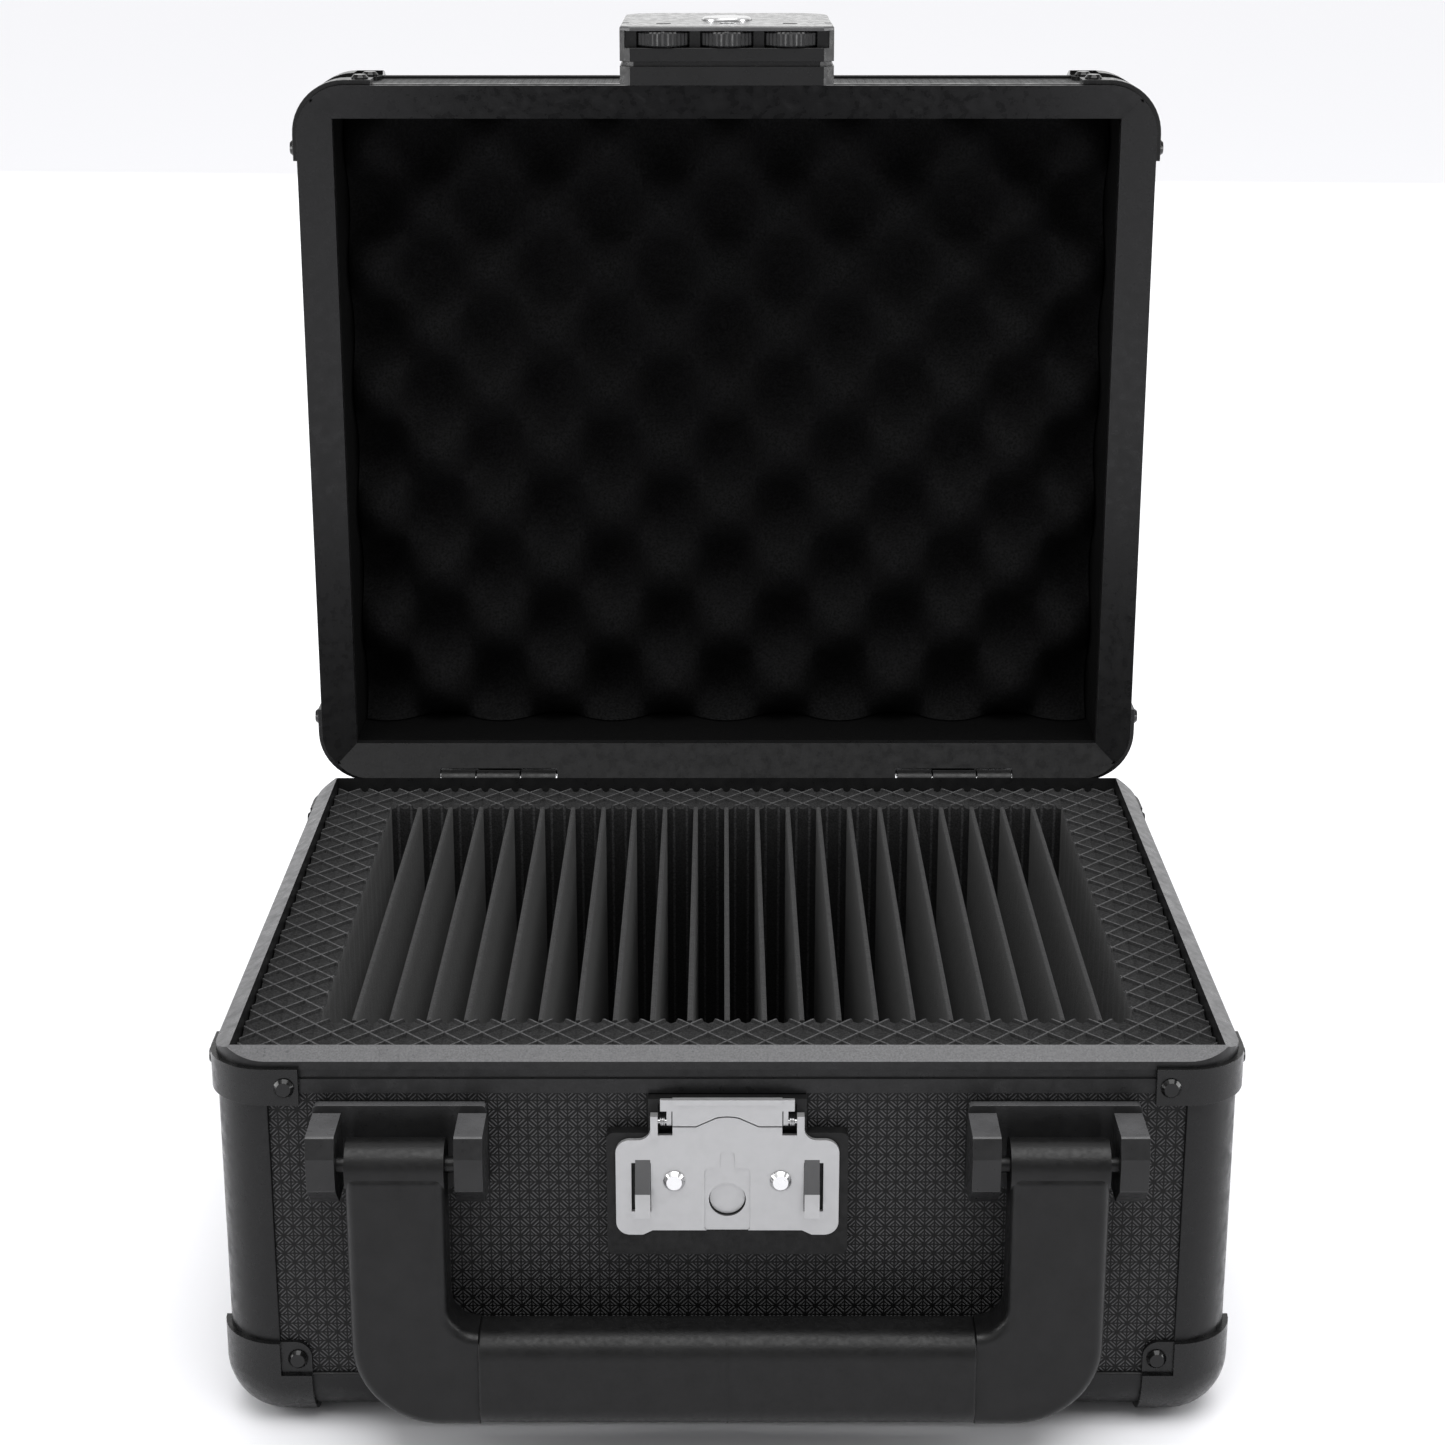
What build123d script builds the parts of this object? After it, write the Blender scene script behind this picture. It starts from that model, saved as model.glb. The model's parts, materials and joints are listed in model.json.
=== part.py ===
from build123d import *
from math import atan, degrees
import os

# A small black framed hard case: a base with a slotted foam insert, a lid on two rear hinges that
# stands open, a carrying handle on the front and a combination hasp on the lid's front wall.
# Millimetres. +X is the case's width, -Y its front, +Z up; the floor is z = 0.

# ---- driving dimensions of the case ----
WIDTH = 212.0
DEPTH = 179.0
BASE_H = 84.85  # floor to the base's mating edge
LID_H = 43.2  # the lid's mating edge to its outermost face
SEAM = 0.3
LID_OPEN = 90.0  # degrees from closed to the rest pose
CASE_Y = -13.5  # the case's centre plane, so that the open object is centred on the origin
EDGE_R = 12.0  # quarter-round edges and corners
FRAME_T = 4.0  # wall thickness of posts, rails and rims
PANEL_T = 3.2
RECESS = 0.8  # panels sit this far inside the frame's outer face
CAP_T = 1.2  # corner caps stand this far proud of the frame
RIM_H = 7.0  # height of the rim's outer band
TONGUE = 2.0  # rise of the base rim's bevel
LID_FACE_W = 8.4  # width of the lid rim's bevel
GROOVE = (1.75, 2.1, 0.6)  # rim groove: distance from the edge, height and depth
BALL_REACH = 18.5  # flap of a corner cap along each side
BALL_POST_H = 20.7
RIM_CAP = (1.3, 9.3)  # a rim cap's band, measured from the mating edge
LID_RIM_CAP = (1.75, 9.3)  # further in, to clear the corners of the base rim's bevel
RIVET_R = 2.1
SHANK_R = 1.2
RIVET_IN = 15.6  # rivets from the case's corner

# ---- foam ----
SLOTS = 22
SLOT_PITCH = 7.9
SLOT_W = 6.8
SLOT_FRONT = -65.6  # from the case's centre plane
SLOT_REAR = 71.9
SLOT_FLOOR = 22.0
FOAM_TOP = 84.0
FOAM_GAP = 0.3
EGG_DEPTH = 17.0
LINING_T = 4.0

# ---- rear hinges ----
HINGE_X = 60.0
HINGE_OUT = 0.2  # the pin's axis is this far behind the rear face
KNUCKLE_R = 2.5
HINGE_PIN_R = 1.25
LEAF_T = 1.2
LEAF_W = 30.0
LEAF_H = 18.0
KNUCKLE_W = 9.0  # an outer knuckle; the lid's knuckle fills the middle
KNUCKLE_X = 10.5
LEAF_RIVET_Z = 15.0  # leaf rivets from the hinge axis
LEAF_RIVET_PITCH = 10.0
LEAF_RIVET_R = 2.0
RUNNING = 0.06

# ---- handle ----
HANDLE_X = 67.0
HANDLE_OUT = 9.5
HANDLE_Z = 66.5
HANDLE_PIN_R = 1.6
ARM_W = 20.0
ARM_T = 11.0
GRIP_T = 14.0
GRIP_LOW = 9.5
GRIP_HIGH = 30.4
GRIP_OFF = 0.3  # the grip's middle stands this much further out than the pins
GRIP_CORE = (8.0, 14.0)  # the frame's bar inside the grip
SLEEVE_X = 51.0
ARM_CORNER = 18.0
BRACKET_W = 35.6
BRACKET_H = 18.4
BRACKET_T = 1.4
EAR_T = 5.8
PIN_END = 1.2  # handle pins stop this far inside the ears' outer faces

# ---- strike plate on the base ----
PAD_OUT = 2.2
PLATE_T = 1.0
PLATE_X = 22.9
PLATE_LOW = 47.4
PLATE_SHOULDER = 68.8
NECK_X = 15.7
NECK_HIGH = 74.6
STEP_X = 15.4  # the plate's lower edge steps up between these
EAR_IN = 14.2
WINDOW_LOW = 69.9
FLAP_X = 11.2
TAB_X = 13.7
TAB_LOW = 75.4
TAB_HIGH = 77.9
FLAP_LOW = 71.7
FLAP_HIGH = 78.1
FLAP_T = 0.9
FLAP_Z = 73.0
FLAP_OUT = 3.0
FLAP_PIN_R = 0.5
SCREW_Z = 55.3
SCREW_R = 3.75
SCREW_SUNK = 1.2  # the disc's face is this far below the plate's
STRIKE_RIVET = (10.9, 59.7)
HOOK_X = 17.35  # nearer the middle than its window, so that the slot is outboard
HOOK_W = 3.1
HOOK_WINDOW = (17.7, 4.0)

# ---- combination hasp on the lid ----
HASP_W = 49.4
HASP_LOW = 43.0
HASP_HIGH = 93.2
HASP_PIN = (90.0, 6.4)  # height and distance from the front face
HASP_BACK = 3.6
HASP_MID = 8.9
HASP_FACE = 15.8
HASP_OUT = 16.8
HASP_PIN_HALF = 22.0
BOX_W = 46.2  # the hollow of the back shell
BOX_H = 40.8
BOX_Z = 65.0
DIAL_T = 3.6
DIAL_POST_R = 1.5
DIAL_SLOT_W = 47.0
DIAL_R = 6.9
DIAL_Z = 48.9
DIAL_PITCH = 14.7
BUTTON_R = 5.75
BUTTON_Z = 66.5
BUTTON_H = 3.2
BUTTON_STEM_R = 1.5
BUTTON_GAP = 0.3
SPRING_H = 2.2
BOLT_T = 1.2
CLAW = (17.6, 57.0)

HINGE_Y = CASE_Y + DEPTH / 2 + HINGE_OUT
HINGE_Z = BASE_H + SEAM / 2
FRONT = CASE_Y - DEPTH / 2
REAR = CASE_Y + DEPTH / 2
TOP_Z = BASE_H + SEAM + LID_H
TO_HINGE = Location((0, HINGE_Y, HINGE_Z))
OPENING = TO_HINGE * Location((0, 0, 0), (-LID_OPEN, 0, 0)) * Location((0, -HINGE_Y, -HINGE_Z))


def opened(plane):
    """Where a plane of the closed lid lies on the open lid."""
    return Plane(OPENING * plane.location)


def on(frame, plane):
    """A plane given in a frame's own coordinates."""
    return Plane(frame.location * plane.location)


# Each half is described from its outermost face, z = 0, towards its mating edge.
BASE = Plane((0, CASE_Y, 0))
LID = opened(Plane((0, CASE_Y, TOP_Z), x_dir=(1, 0, 0), z_dir=(0, 0, -1)))
PANEL_IN = RECESS + PANEL_T

os.makedirs("parts", exist_ok=True)


def rivet_faces(frame, z, out):
    """The eight places of corner rivets at one height, each a plane facing outwards."""
    places = []
    for sx in (-1, 1):
        for sy in (-1, 1):
            front = Plane((sx * (WIDTH / 2 - RIVET_IN), sy * (DEPTH / 2 + out), z), z_dir=(0, sy, 0))
            side = Plane((sx * (WIDTH / 2 + out), sy * (DEPTH / 2 - RIVET_IN), z), z_dir=(sx, 0, 0))
            places += [on(frame, front), on(frame, side)]
    return places


def drill(places, radius, depth):
    """Holes into the part being built, from each plane inwards."""
    for place in places:
        with BuildSketch(place) as hole:
            Circle(radius)
        extrude(hole.sketch, amount=-depth, mode=Mode.SUBTRACT)


def dome_rivets(places, radius, shank_r, shank):
    """Domed rivets, one on each plane, with their shanks inwards."""
    height = 0.5 * radius
    with BuildPart() as rivets:
        for place in places:
            with BuildSketch(place):
                Circle(shank_r)
            extrude(amount=-shank)
            with BuildSketch(place):
                Circle(radius)
            extrude(amount=height * 0.3)
            with BuildSketch(on(place, Plane.XY.offset(height * 0.3))):
                Circle(radius)
            extrude(amount=height * 0.7, taper=40)
    return rivets.part


def rounded_block(frame, grow, top):
    """The half's outer envelope, grown outwards, with a rounded outer edge all round."""
    radius = EDGE_R + grow
    with BuildPart() as block:
        with BuildSketch(on(frame, Plane.XY.offset(CAP_T - grow))):
            RectangleRounded(WIDTH + 2 * grow, DEPTH + 2 * grow, radius)
        extrude(amount=top - CAP_T + grow)
        fillet(block.faces().sort_by(Axis(frame.origin, frame.z_dir))[0].edges(), radius - 0.02)
    return block.part


def build_half(frame, name, height, rear, cap):
    """The shell of one half: panels, posts, rails, ball corners and rim corners.
    rear is the sign of the hinge side in the frame's own Y, and cap the rim cap's band."""
    half_x = WIDTH / 2 - EDGE_R
    half_y = DEPTH / 2 - EDGE_R
    low = CAP_T + EDGE_R
    band = height - RIM_H
    rim_rivet_z = height - (cap[0] + cap[1]) / 2
    tab_rivets = rivet_faces(frame, low + 3.6, 0.2)
    rim_rivets = rivet_faces(frame, rim_rivet_z, CAP_T)

    with BuildPart() as end_panel:
        with BuildSketch(on(frame, Plane.XY.offset(CAP_T + RECESS))):
            Rectangle(2 * half_x, 2 * half_y)
        extrude(amount=PANEL_T)
    end_name = "base_bottom_panel" if name == "base" else "lid_top_panel"
    end_panel.part.label = end_name
    export_step(end_panel.part, f"parts/{end_name}.step")

    for side, sign in (("rear", rear), ("front", -rear)):
        with BuildPart() as panel:
            with BuildSketch(on(frame, Plane.XY.offset(low))):
                with Locations((0, sign * (DEPTH / 2 - RECESS - PANEL_T / 2))):
                    Rectangle(2 * half_x, PANEL_T)
            extrude(amount=band - low)
            drill(tab_rivets, SHANK_R, 2.5)
            if side == "rear":
                drill(leaf_rivet_planes(name), SHANK_R, 3.5)
        panel.part.label = f"{name}_{side}_panel"
        export_step(panel.part, f"parts/{name}_{side}_panel.step")

    for side, sign in (("left", -1), ("right", 1)):
        with BuildPart() as panel:
            with BuildSketch(on(frame, Plane.XY.offset(low))):
                with Locations((sign * (WIDTH / 2 - RECESS - PANEL_T / 2), 0)):
                    Rectangle(PANEL_T, 2 * half_y)
            extrude(amount=band - low)
            drill(tab_rivets, SHANK_R, 2.5)
        panel.part.label = f"{name}_{side}_panel"
        export_step(panel.part, f"parts/{name}_{side}_panel.step")

    with BuildPart() as posts:
        with BuildSketch(on(frame, Plane.XY.offset(low))):
            RectangleRounded(WIDTH, DEPTH, EDGE_R)
            RectangleRounded(WIDTH - 2 * FRAME_T, DEPTH - 2 * FRAME_T, EDGE_R - FRAME_T, mode=Mode.SUBTRACT)
            Rectangle(2 * half_x, DEPTH, mode=Mode.SUBTRACT)
            Rectangle(WIDTH, 2 * half_y, mode=Mode.SUBTRACT)
        extrude(amount=band - low)
    posts.part.label = f"{name}_corner_posts"
    export_step(posts.part, f"parts/{name}_corner_posts.step")

    def quarter_rails(across, profile_plane, length):
        """Two quarter-round rails on opposite edges, with their outside on the envelope."""
        with BuildPart() as rails:
            with BuildSketch(profile_plane):
                for sign in (-1, 1):
                    with Locations((sign * (across / 2 - EDGE_R), low)):
                        Circle(EDGE_R)
                        Circle(EDGE_R - FRAME_T, mode=Mode.SUBTRACT)
                with Locations((0, low + EDGE_R)):
                    Rectangle(2 * across, 2 * EDGE_R, mode=Mode.SUBTRACT)
                Rectangle(across - 2 * EDGE_R, 4 * EDGE_R, mode=Mode.SUBTRACT)
            extrude(amount=length / 2, both=True)
        return rails.part

    long_plane = on(frame, Plane((0, 0, 0), x_dir=(0, 1, 0), z_dir=(1, 0, 0)))
    side_plane = on(frame, Plane((0, 0, 0), x_dir=(-1, 0, 0), z_dir=(0, 1, 0)))
    with BuildPart() as long_rails:
        add(quarter_rails(DEPTH, long_plane, 2 * half_x))
    long_rails.part.label = f"{name}_front_and_rear_rails"
    export_step(long_rails.part, f"parts/{name}_front_and_rear_rails.step")
    with BuildPart() as side_rails:
        add(quarter_rails(WIDTH, side_plane, 2 * half_y))
    side_rails.part.label = f"{name}_side_rails"
    export_step(side_rails.part, f"parts/{name}_side_rails.step")

    inner = rounded_block(frame, 0, height)
    outer = rounded_block(frame, CAP_T, height)

    with BuildPart() as ball_corners:
        for sx in (-1, 1):
            for sy in (-1, 1):
                with BuildSketch(on(frame, Plane.XY)):
                    with Locations((sx * WIDTH / 2, sy * DEPTH / 2)):
                        Rectangle(2 * BALL_REACH, 2 * BALL_REACH)
                extrude(amount=low)
                with BuildSketch(on(frame, Plane.XY.offset(low))):
                    with Locations((sx * WIDTH / 2, sy * DEPTH / 2)):
                        Rectangle(2 * EDGE_R, 2 * EDGE_R)
                extrude(amount=BALL_POST_H - low)
        add(outer, mode=Mode.INTERSECT)
        add(inner, mode=Mode.SUBTRACT)
        tab = BALL_REACH - EDGE_R
        for sx in (-1, 1):
            for sy in (-1, 1):
                at_face = (sx * (half_x - tab / 2), sy * (DEPTH / 2 - RECESS), low)
                at_side = (sx * (WIDTH / 2 - RECESS), sy * (half_y - tab / 2), low)
                face = Plane(at_face, z_dir=(0, sy, 0), x_dir=(1, 0, 0))
                side = Plane(at_side, z_dir=(sx, 0, 0), x_dir=(0, 1, 0))
                for plane, inward in ((face, -sx), (side, -sy)):
                    up = 1 if plane.y_dir.Z > 0 else -1
                    with BuildSketch(on(frame, plane)):
                        with Locations((0, up * (BALL_POST_H - low) / 2)):
                            box = Rectangle(tab, BALL_POST_H - low)
                        corner = [v for v in box.vertices() if v.X * inward > 0 and v.Y * up > 1]
                        fillet(corner, 3.4)
                    extrude(amount=RECESS + 0.2)
        drill(tab_rivets, SHANK_R, 2.5)
    ball_corners.part.label = f"{name}_ball_corners"
    export_step(ball_corners.part, f"parts/{name}_ball_corners.step")

    with BuildPart() as rim_corners:
        with BuildSketch(on(frame, Plane.XY.offset(height - cap[1]))):
            for sx in (-1, 1):
                for sy in (-1, 1):
                    with Locations((sx * WIDTH / 2, sy * DEPTH / 2)):
                        Rectangle(2 * BALL_REACH, 2 * BALL_REACH)
        extrude(amount=cap[1] - cap[0])
        add(outer, mode=Mode.INTERSECT)
        add(inner, mode=Mode.SUBTRACT)
        drill(rim_rivets, SHANK_R, 4.0)
    rim_corners.part.label = f"{name}_rim_corners"
    export_step(rim_corners.part, f"parts/{name}_rim_corners.step")

    with BuildPart() as rivets:
        add(dome_rivets(tab_rivets, RIVET_R, SHANK_R, 2.5))
        add(dome_rivets(rim_rivets, RIVET_R, SHANK_R, 3.2))
    rivets.part.label = f"{name}_corner_rivets"
    export_step(rivets.part, f"parts/{name}_corner_rivets.step")
    return rim_rivets


def leaf_rivet_planes(name):
    """Where the rivets of the two hinge leaves stand on one half, facing backwards."""
    z = HINGE_Z - LEAF_RIVET_Z if name == "base" else HINGE_Z + LEAF_RIVET_Z
    places = []
    for x in (-HINGE_X, HINGE_X):
        for dx in (-LEAF_RIVET_PITCH, 0, LEAF_RIVET_PITCH):
            plane = Plane((x + dx, REAR + LEAF_T, z), z_dir=(0, 1, 0))
            places.append(plane if name == "base" else opened(plane))
    return places


def rim_blank(frame, height, bevel_w, rise):
    """A rim with rounded outer corners and a bevel that meets in mitres; rise > 0 stands proud."""
    angle = degrees(atan(bevel_w / abs(rise)))
    bottom = height - RIM_H
    with BuildPart() as rim:
        with BuildSketch(on(frame, Plane.XY.offset(bottom))):
            Rectangle(WIDTH, DEPTH)
        extrude(amount=RIM_H)
        if rise > 0:
            with BuildSketch(on(frame, Plane.XY.offset(height))):
                Rectangle(WIDTH, DEPTH)
            extrude(amount=rise, taper=angle)
        else:
            with BuildSketch(on(frame, Plane.XY.offset(height))):
                Rectangle(WIDTH, DEPTH)
            extrude(amount=rise, taper=angle, mode=Mode.SUBTRACT)
        with BuildSketch(on(frame, Plane.XY.offset(bottom))):
            Rectangle(WIDTH - 2 * bevel_w, DEPTH - 2 * bevel_w)
        extrude(amount=RIM_H + TONGUE, mode=Mode.SUBTRACT)
        with BuildSketch(on(frame, Plane.XY.offset(bottom - 1))):
            RectangleRounded(WIDTH, DEPTH, EDGE_R)
        extrude(amount=RIM_H + TONGUE + 2, mode=Mode.INTERSECT)
        start, tall, deep = GROOVE
        with BuildSketch(on(frame, Plane.XY.offset(height - start - tall))):
            RectangleRounded(WIDTH + 2, DEPTH + 2, EDGE_R + 1)
            RectangleRounded(WIDTH - 2 * deep, DEPTH - 2 * deep, EDGE_R - deep, mode=Mode.SUBTRACT)
        extrude(amount=tall, mode=Mode.SUBTRACT)
        for x in (-HINGE_X, HINGE_X):
            with BuildSketch(on(Plane((x, HINGE_Y, HINGE_Z)), Plane.YZ)):
                Circle(KNUCKLE_R + 0.45)
            extrude(amount=LEAF_W / 2 + 0.4, both=True, mode=Mode.SUBTRACT)
    return rim.part


# ---- shells and rims ----
base_rim_rivets = build_half(BASE, "base", BASE_H, 1, RIM_CAP)
lid_rim_rivets = build_half(LID, "lid", LID_H, -1, LID_RIM_CAP)

with BuildPart() as base_rim:
    add(rim_blank(BASE, BASE_H, FRAME_T, TONGUE))
    drill(base_rim_rivets, SHANK_R, 3.2)
base_rim.part.label = "base_rim"
export_step(base_rim.part, "parts/base_rim.step")

with BuildPart() as lid_rim:
    add(rim_blank(LID, LID_H, LID_FACE_W, -LID_FACE_W / 2))
    drill(lid_rim_rivets, SHANK_R, 3.2)
lid_rim.part.label = "lid_rim"
export_step(lid_rim.part, "parts/lid_rim.step")

# ---- foam insert: one die-cut block, built of prisms that meet face to face ----
FOAM_X = WIDTH / 2 - PANEL_IN - FOAM_GAP
FOAM_Y = DEPTH / 2 - PANEL_IN - FOAM_GAP
SLOTS_X = ((SLOTS - 1) * SLOT_PITCH + SLOT_W) / 2
SLOTS_MID = (SLOT_FRONT + SLOT_REAR) / 2
SLOTS_LONG = SLOT_REAR - SLOT_FRONT
FOAM_FLOOR = CAP_T + PANEL_IN

foam_pieces = [
    (0, 0, 2 * (WIDTH / 2 - EDGE_R - 0.3), 2 * (DEPTH / 2 - EDGE_R - 0.3), FOAM_FLOOR, CAP_T + EDGE_R),
    (0, 0, 2 * FOAM_X, 2 * FOAM_Y, CAP_T + EDGE_R, SLOT_FLOOR),
    (0, (SLOT_FRONT - FOAM_Y) / 2, 2 * FOAM_X, FOAM_Y + SLOT_FRONT, SLOT_FLOOR, FOAM_TOP),
    (0, (SLOT_REAR + FOAM_Y) / 2, 2 * FOAM_X, FOAM_Y - SLOT_REAR, SLOT_FLOOR, FOAM_TOP),
]
for sign in (-1, 1):
    foam_pieces.append(
        (sign * (SLOTS_X + FOAM_X) / 2, SLOTS_MID, FOAM_X - SLOTS_X, SLOTS_LONG, SLOT_FLOOR, FOAM_TOP)
    )
for i in range(SLOTS - 1):
    x = (i - (SLOTS - 2) / 2) * SLOT_PITCH
    foam_pieces.append((x, SLOTS_MID, SLOT_PITCH - SLOT_W, SLOTS_LONG, SLOT_FLOOR, FOAM_TOP))

foam_solids = []
for x, y, width, depth, low, high in foam_pieces:
    with BuildPart() as prism:
        with BuildSketch(on(BASE, Plane.XY.offset(low))):
            RectangleRounded(2 * FOAM_X, 2 * FOAM_Y, EDGE_R - PANEL_IN - FOAM_GAP)
            with Locations((x, y)):
                Rectangle(width, depth, mode=Mode.INTERSECT)
        extrude(amount=high - low)
    foam_solids.append(prism.part.solid())
foam_insert = Compound(children=foam_solids)
foam_insert.label = "slotted_foam_insert"
export_step(foam_insert, "parts/slotted_foam_insert.step")

# ---- lid lining and foam ----
LINING_LOW = CAP_T + EDGE_R - 2.0
LINING_OUT = PANEL_IN + FOAM_GAP
LINING_X = WIDTH / 2 - LINING_OUT
LINING_Y = DEPTH / 2 - LINING_OUT
LINING_R = EDGE_R - LINING_OUT
LINING_PLANE = on(LID, Plane.XY.offset(LINING_LOW))
with BuildPart() as lining:
    for sign in (-1, 1):
        with BuildSketch(LINING_PLANE):
            RectangleRounded(2 * LINING_X, 2 * LINING_Y, LINING_R)
            with Locations((0, sign * (LINING_Y - LINING_T / 2))):
                Rectangle(2 * LINING_X, LINING_T, mode=Mode.INTERSECT)
        extrude(amount=LID_H - RIM_H - LINING_LOW)
        with BuildSketch(LINING_PLANE):
            RectangleRounded(2 * LINING_X, 2 * LINING_Y, LINING_R)
            with Locations((sign * (LINING_X - LINING_T / 2), 0)):
                Rectangle(LINING_T, 2 * (LINING_Y - LINING_T) - 0.02, mode=Mode.INTERSECT)
        extrude(amount=LID_H - RIM_H - LINING_LOW)
lining.part.label = "lid_side_lining"
export_step(lining.part, "parts/lid_side_lining.step")

EGG_IN = LINING_OUT + LINING_T + 0.4
with BuildPart() as egg_foam:
    with BuildSketch(on(LID, Plane.XY.offset(CAP_T + PANEL_IN))):
        Rectangle(WIDTH - 2 * EDGE_R - 1, DEPTH - 2 * EDGE_R - 1)
    extrude(amount=1.0)
    with BuildSketch(on(LID, Plane.XY.offset(CAP_T + PANEL_IN + 0.8))):
        Rectangle(WIDTH - 2 * EGG_IN, DEPTH - 2 * EGG_IN)
    extrude(amount=EGG_DEPTH)
egg_foam.part.label = "lid_egg_crate_foam"
export_step(egg_foam.part, "parts/lid_egg_crate_foam.step")

# ---- rear hinges ----
LEAF_GAP = KNUCKLE_R + 0.9
MID_KNUCKLE_W = 2 * (KNUCKLE_X - KNUCKLE_W / 2) - 0.6
for side, x in (("left", -HINGE_X), ("right", HINGE_X)):
    axis = Plane((x, HINGE_Y, HINGE_Z))
    with BuildPart() as base_leaf:
        with BuildSketch(on(axis, Plane.XZ.offset(HINGE_OUT))):
            with Locations((0, -LEAF_GAP - LEAF_H / 2)):
                RectangleRounded(LEAF_W, LEAF_H, 2.5)
        extrude(amount=-LEAF_T)
        for dx in (-KNUCKLE_X, KNUCKLE_X):
            with BuildSketch(on(axis, Plane.XZ.offset(HINGE_OUT))):
                with Locations((dx, -(LEAF_GAP + 3) / 2)):
                    Rectangle(KNUCKLE_W, LEAF_GAP + 3)
            extrude(amount=-LEAF_T)
            with BuildSketch(on(axis, Plane.YZ.offset(dx - KNUCKLE_W / 2))):
                Circle(KNUCKLE_R)
            extrude(amount=KNUCKLE_W)
        with BuildSketch(on(axis, Plane.YZ)):
            Circle(HINGE_PIN_R)
        extrude(amount=LEAF_W / 2, both=True, mode=Mode.SUBTRACT)
        drill(leaf_rivet_planes("base"), SHANK_R, LEAF_T)
    base_leaf.part.label = f"hinge_base_leaf_{side}"
    export_step(base_leaf.part, f"parts/hinge_base_leaf_{side}.step")

    with BuildPart() as lid_leaf:
        with BuildSketch(opened(on(axis, Plane.XZ.offset(HINGE_OUT)))):
            with Locations((0, LEAF_GAP + LEAF_H / 2)):
                RectangleRounded(LEAF_W, LEAF_H, 2.5)
            with Locations((0, (LEAF_GAP + 3) / 2)):
                Rectangle(MID_KNUCKLE_W, LEAF_GAP + 3)
        extrude(amount=-LEAF_T)
        with BuildSketch(opened(on(axis, Plane.YZ))):
            Circle(KNUCKLE_R)
        extrude(amount=MID_KNUCKLE_W / 2, both=True)
        with BuildSketch(opened(on(axis, Plane.YZ))):
            Circle(HINGE_PIN_R + RUNNING)
        extrude(amount=MID_KNUCKLE_W, both=True, mode=Mode.SUBTRACT)
        drill(leaf_rivet_planes("lid"), SHANK_R, LEAF_T)
    lid_leaf.part.label = f"hinge_lid_leaf_{side}"
    export_step(lid_leaf.part, f"parts/hinge_lid_leaf_{side}.step")

with BuildPart() as hinge_pins:
    for x in (-HINGE_X, HINGE_X):
        with BuildSketch(on(Plane((x, HINGE_Y, HINGE_Z)), Plane.YZ)):
            Circle(HINGE_PIN_R)
        extrude(amount=LEAF_W / 2, both=True)
hinge_pins.part.label = "hinge_pins"
export_step(hinge_pins.part, "parts/hinge_pins.step")

with BuildPart() as hinge_base_rivets:
    add(dome_rivets(leaf_rivet_planes("base"), LEAF_RIVET_R, SHANK_R, 3.5))
hinge_base_rivets.part.label = "hinge_base_rivets"
export_step(hinge_base_rivets.part, "parts/hinge_base_rivets.step")

with BuildPart() as hinge_lid_rivets:
    add(dome_rivets(leaf_rivet_planes("lid"), LEAF_RIVET_R, SHANK_R, 3.5))
hinge_lid_rivets.part.label = "hinge_lid_rivets"
export_step(hinge_lid_rivets.part, "parts/hinge_lid_rivets.step")

# ---- handle: seen from the side, sketches are in (distance from the front face, height) ----


def side_view(x):
    """A plane across the case at x whose own x is the distance out from the front face."""
    return Plane((x, FRONT, 0), x_dir=(0, -1, 0), z_dir=(-1, 0, 0))


def front_view(out):
    """A plane parallel to the front face, this far out, facing outwards."""
    return Plane((0, FRONT - out, 0), x_dir=(1, 0, 0), z_dir=(0, -1, 0))


for side, x in (("left", -HANDLE_X), ("right", HANDLE_X)):
    with BuildPart() as bracket:
        with BuildSketch(front_view(-RECESS)):
            with Locations((x, HANDLE_Z)):
                RectangleRounded(BRACKET_W, BRACKET_H, 1.2)
        extrude(amount=RECESS + BRACKET_T)
        for sign in (-1, 1):
            inner = x + sign * (BRACKET_W / 2 - EAR_T)
            with BuildSketch(side_view(inner if sign < 0 else inner + EAR_T)):
                with BuildLine():
                    Polyline(
                        (-RECESS, 74.0),
                        (12.6, 74.0),
                        (14.0, 69.6),
                        (13.6, 62.4),
                        (8.4, 57.6),
                        (-RECESS, 57.6),
                        close=True,
                    )
                make_face()
            extrude(amount=EAR_T)
        fillet(bracket.edges().filter_by(Axis.X).filter_by(lambda e: e.center().Y < FRONT - 8), 0.8)
        with BuildSketch(side_view(x + BRACKET_W / 2 - PIN_END)):
            with Locations((HANDLE_OUT, HANDLE_Z)):
                Circle(HANDLE_PIN_R)
        extrude(amount=BRACKET_W - 2 * PIN_END, mode=Mode.SUBTRACT)
    bracket.part.label = f"handle_bracket_{side}"
    export_step(bracket.part, f"parts/handle_bracket_{side}.step")

with BuildPart() as handle_pins:
    for x in (-HANDLE_X, HANDLE_X):
        with BuildSketch(side_view(x + BRACKET_W / 2 - PIN_END)):
            with Locations((HANDLE_OUT, HANDLE_Z)):
                Circle(HANDLE_PIN_R)
        extrude(amount=BRACKET_W - 2 * PIN_END)
handle_pins.part.label = "handle_pins"
export_step(handle_pins.part, "parts/handle_pins.step")

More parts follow.
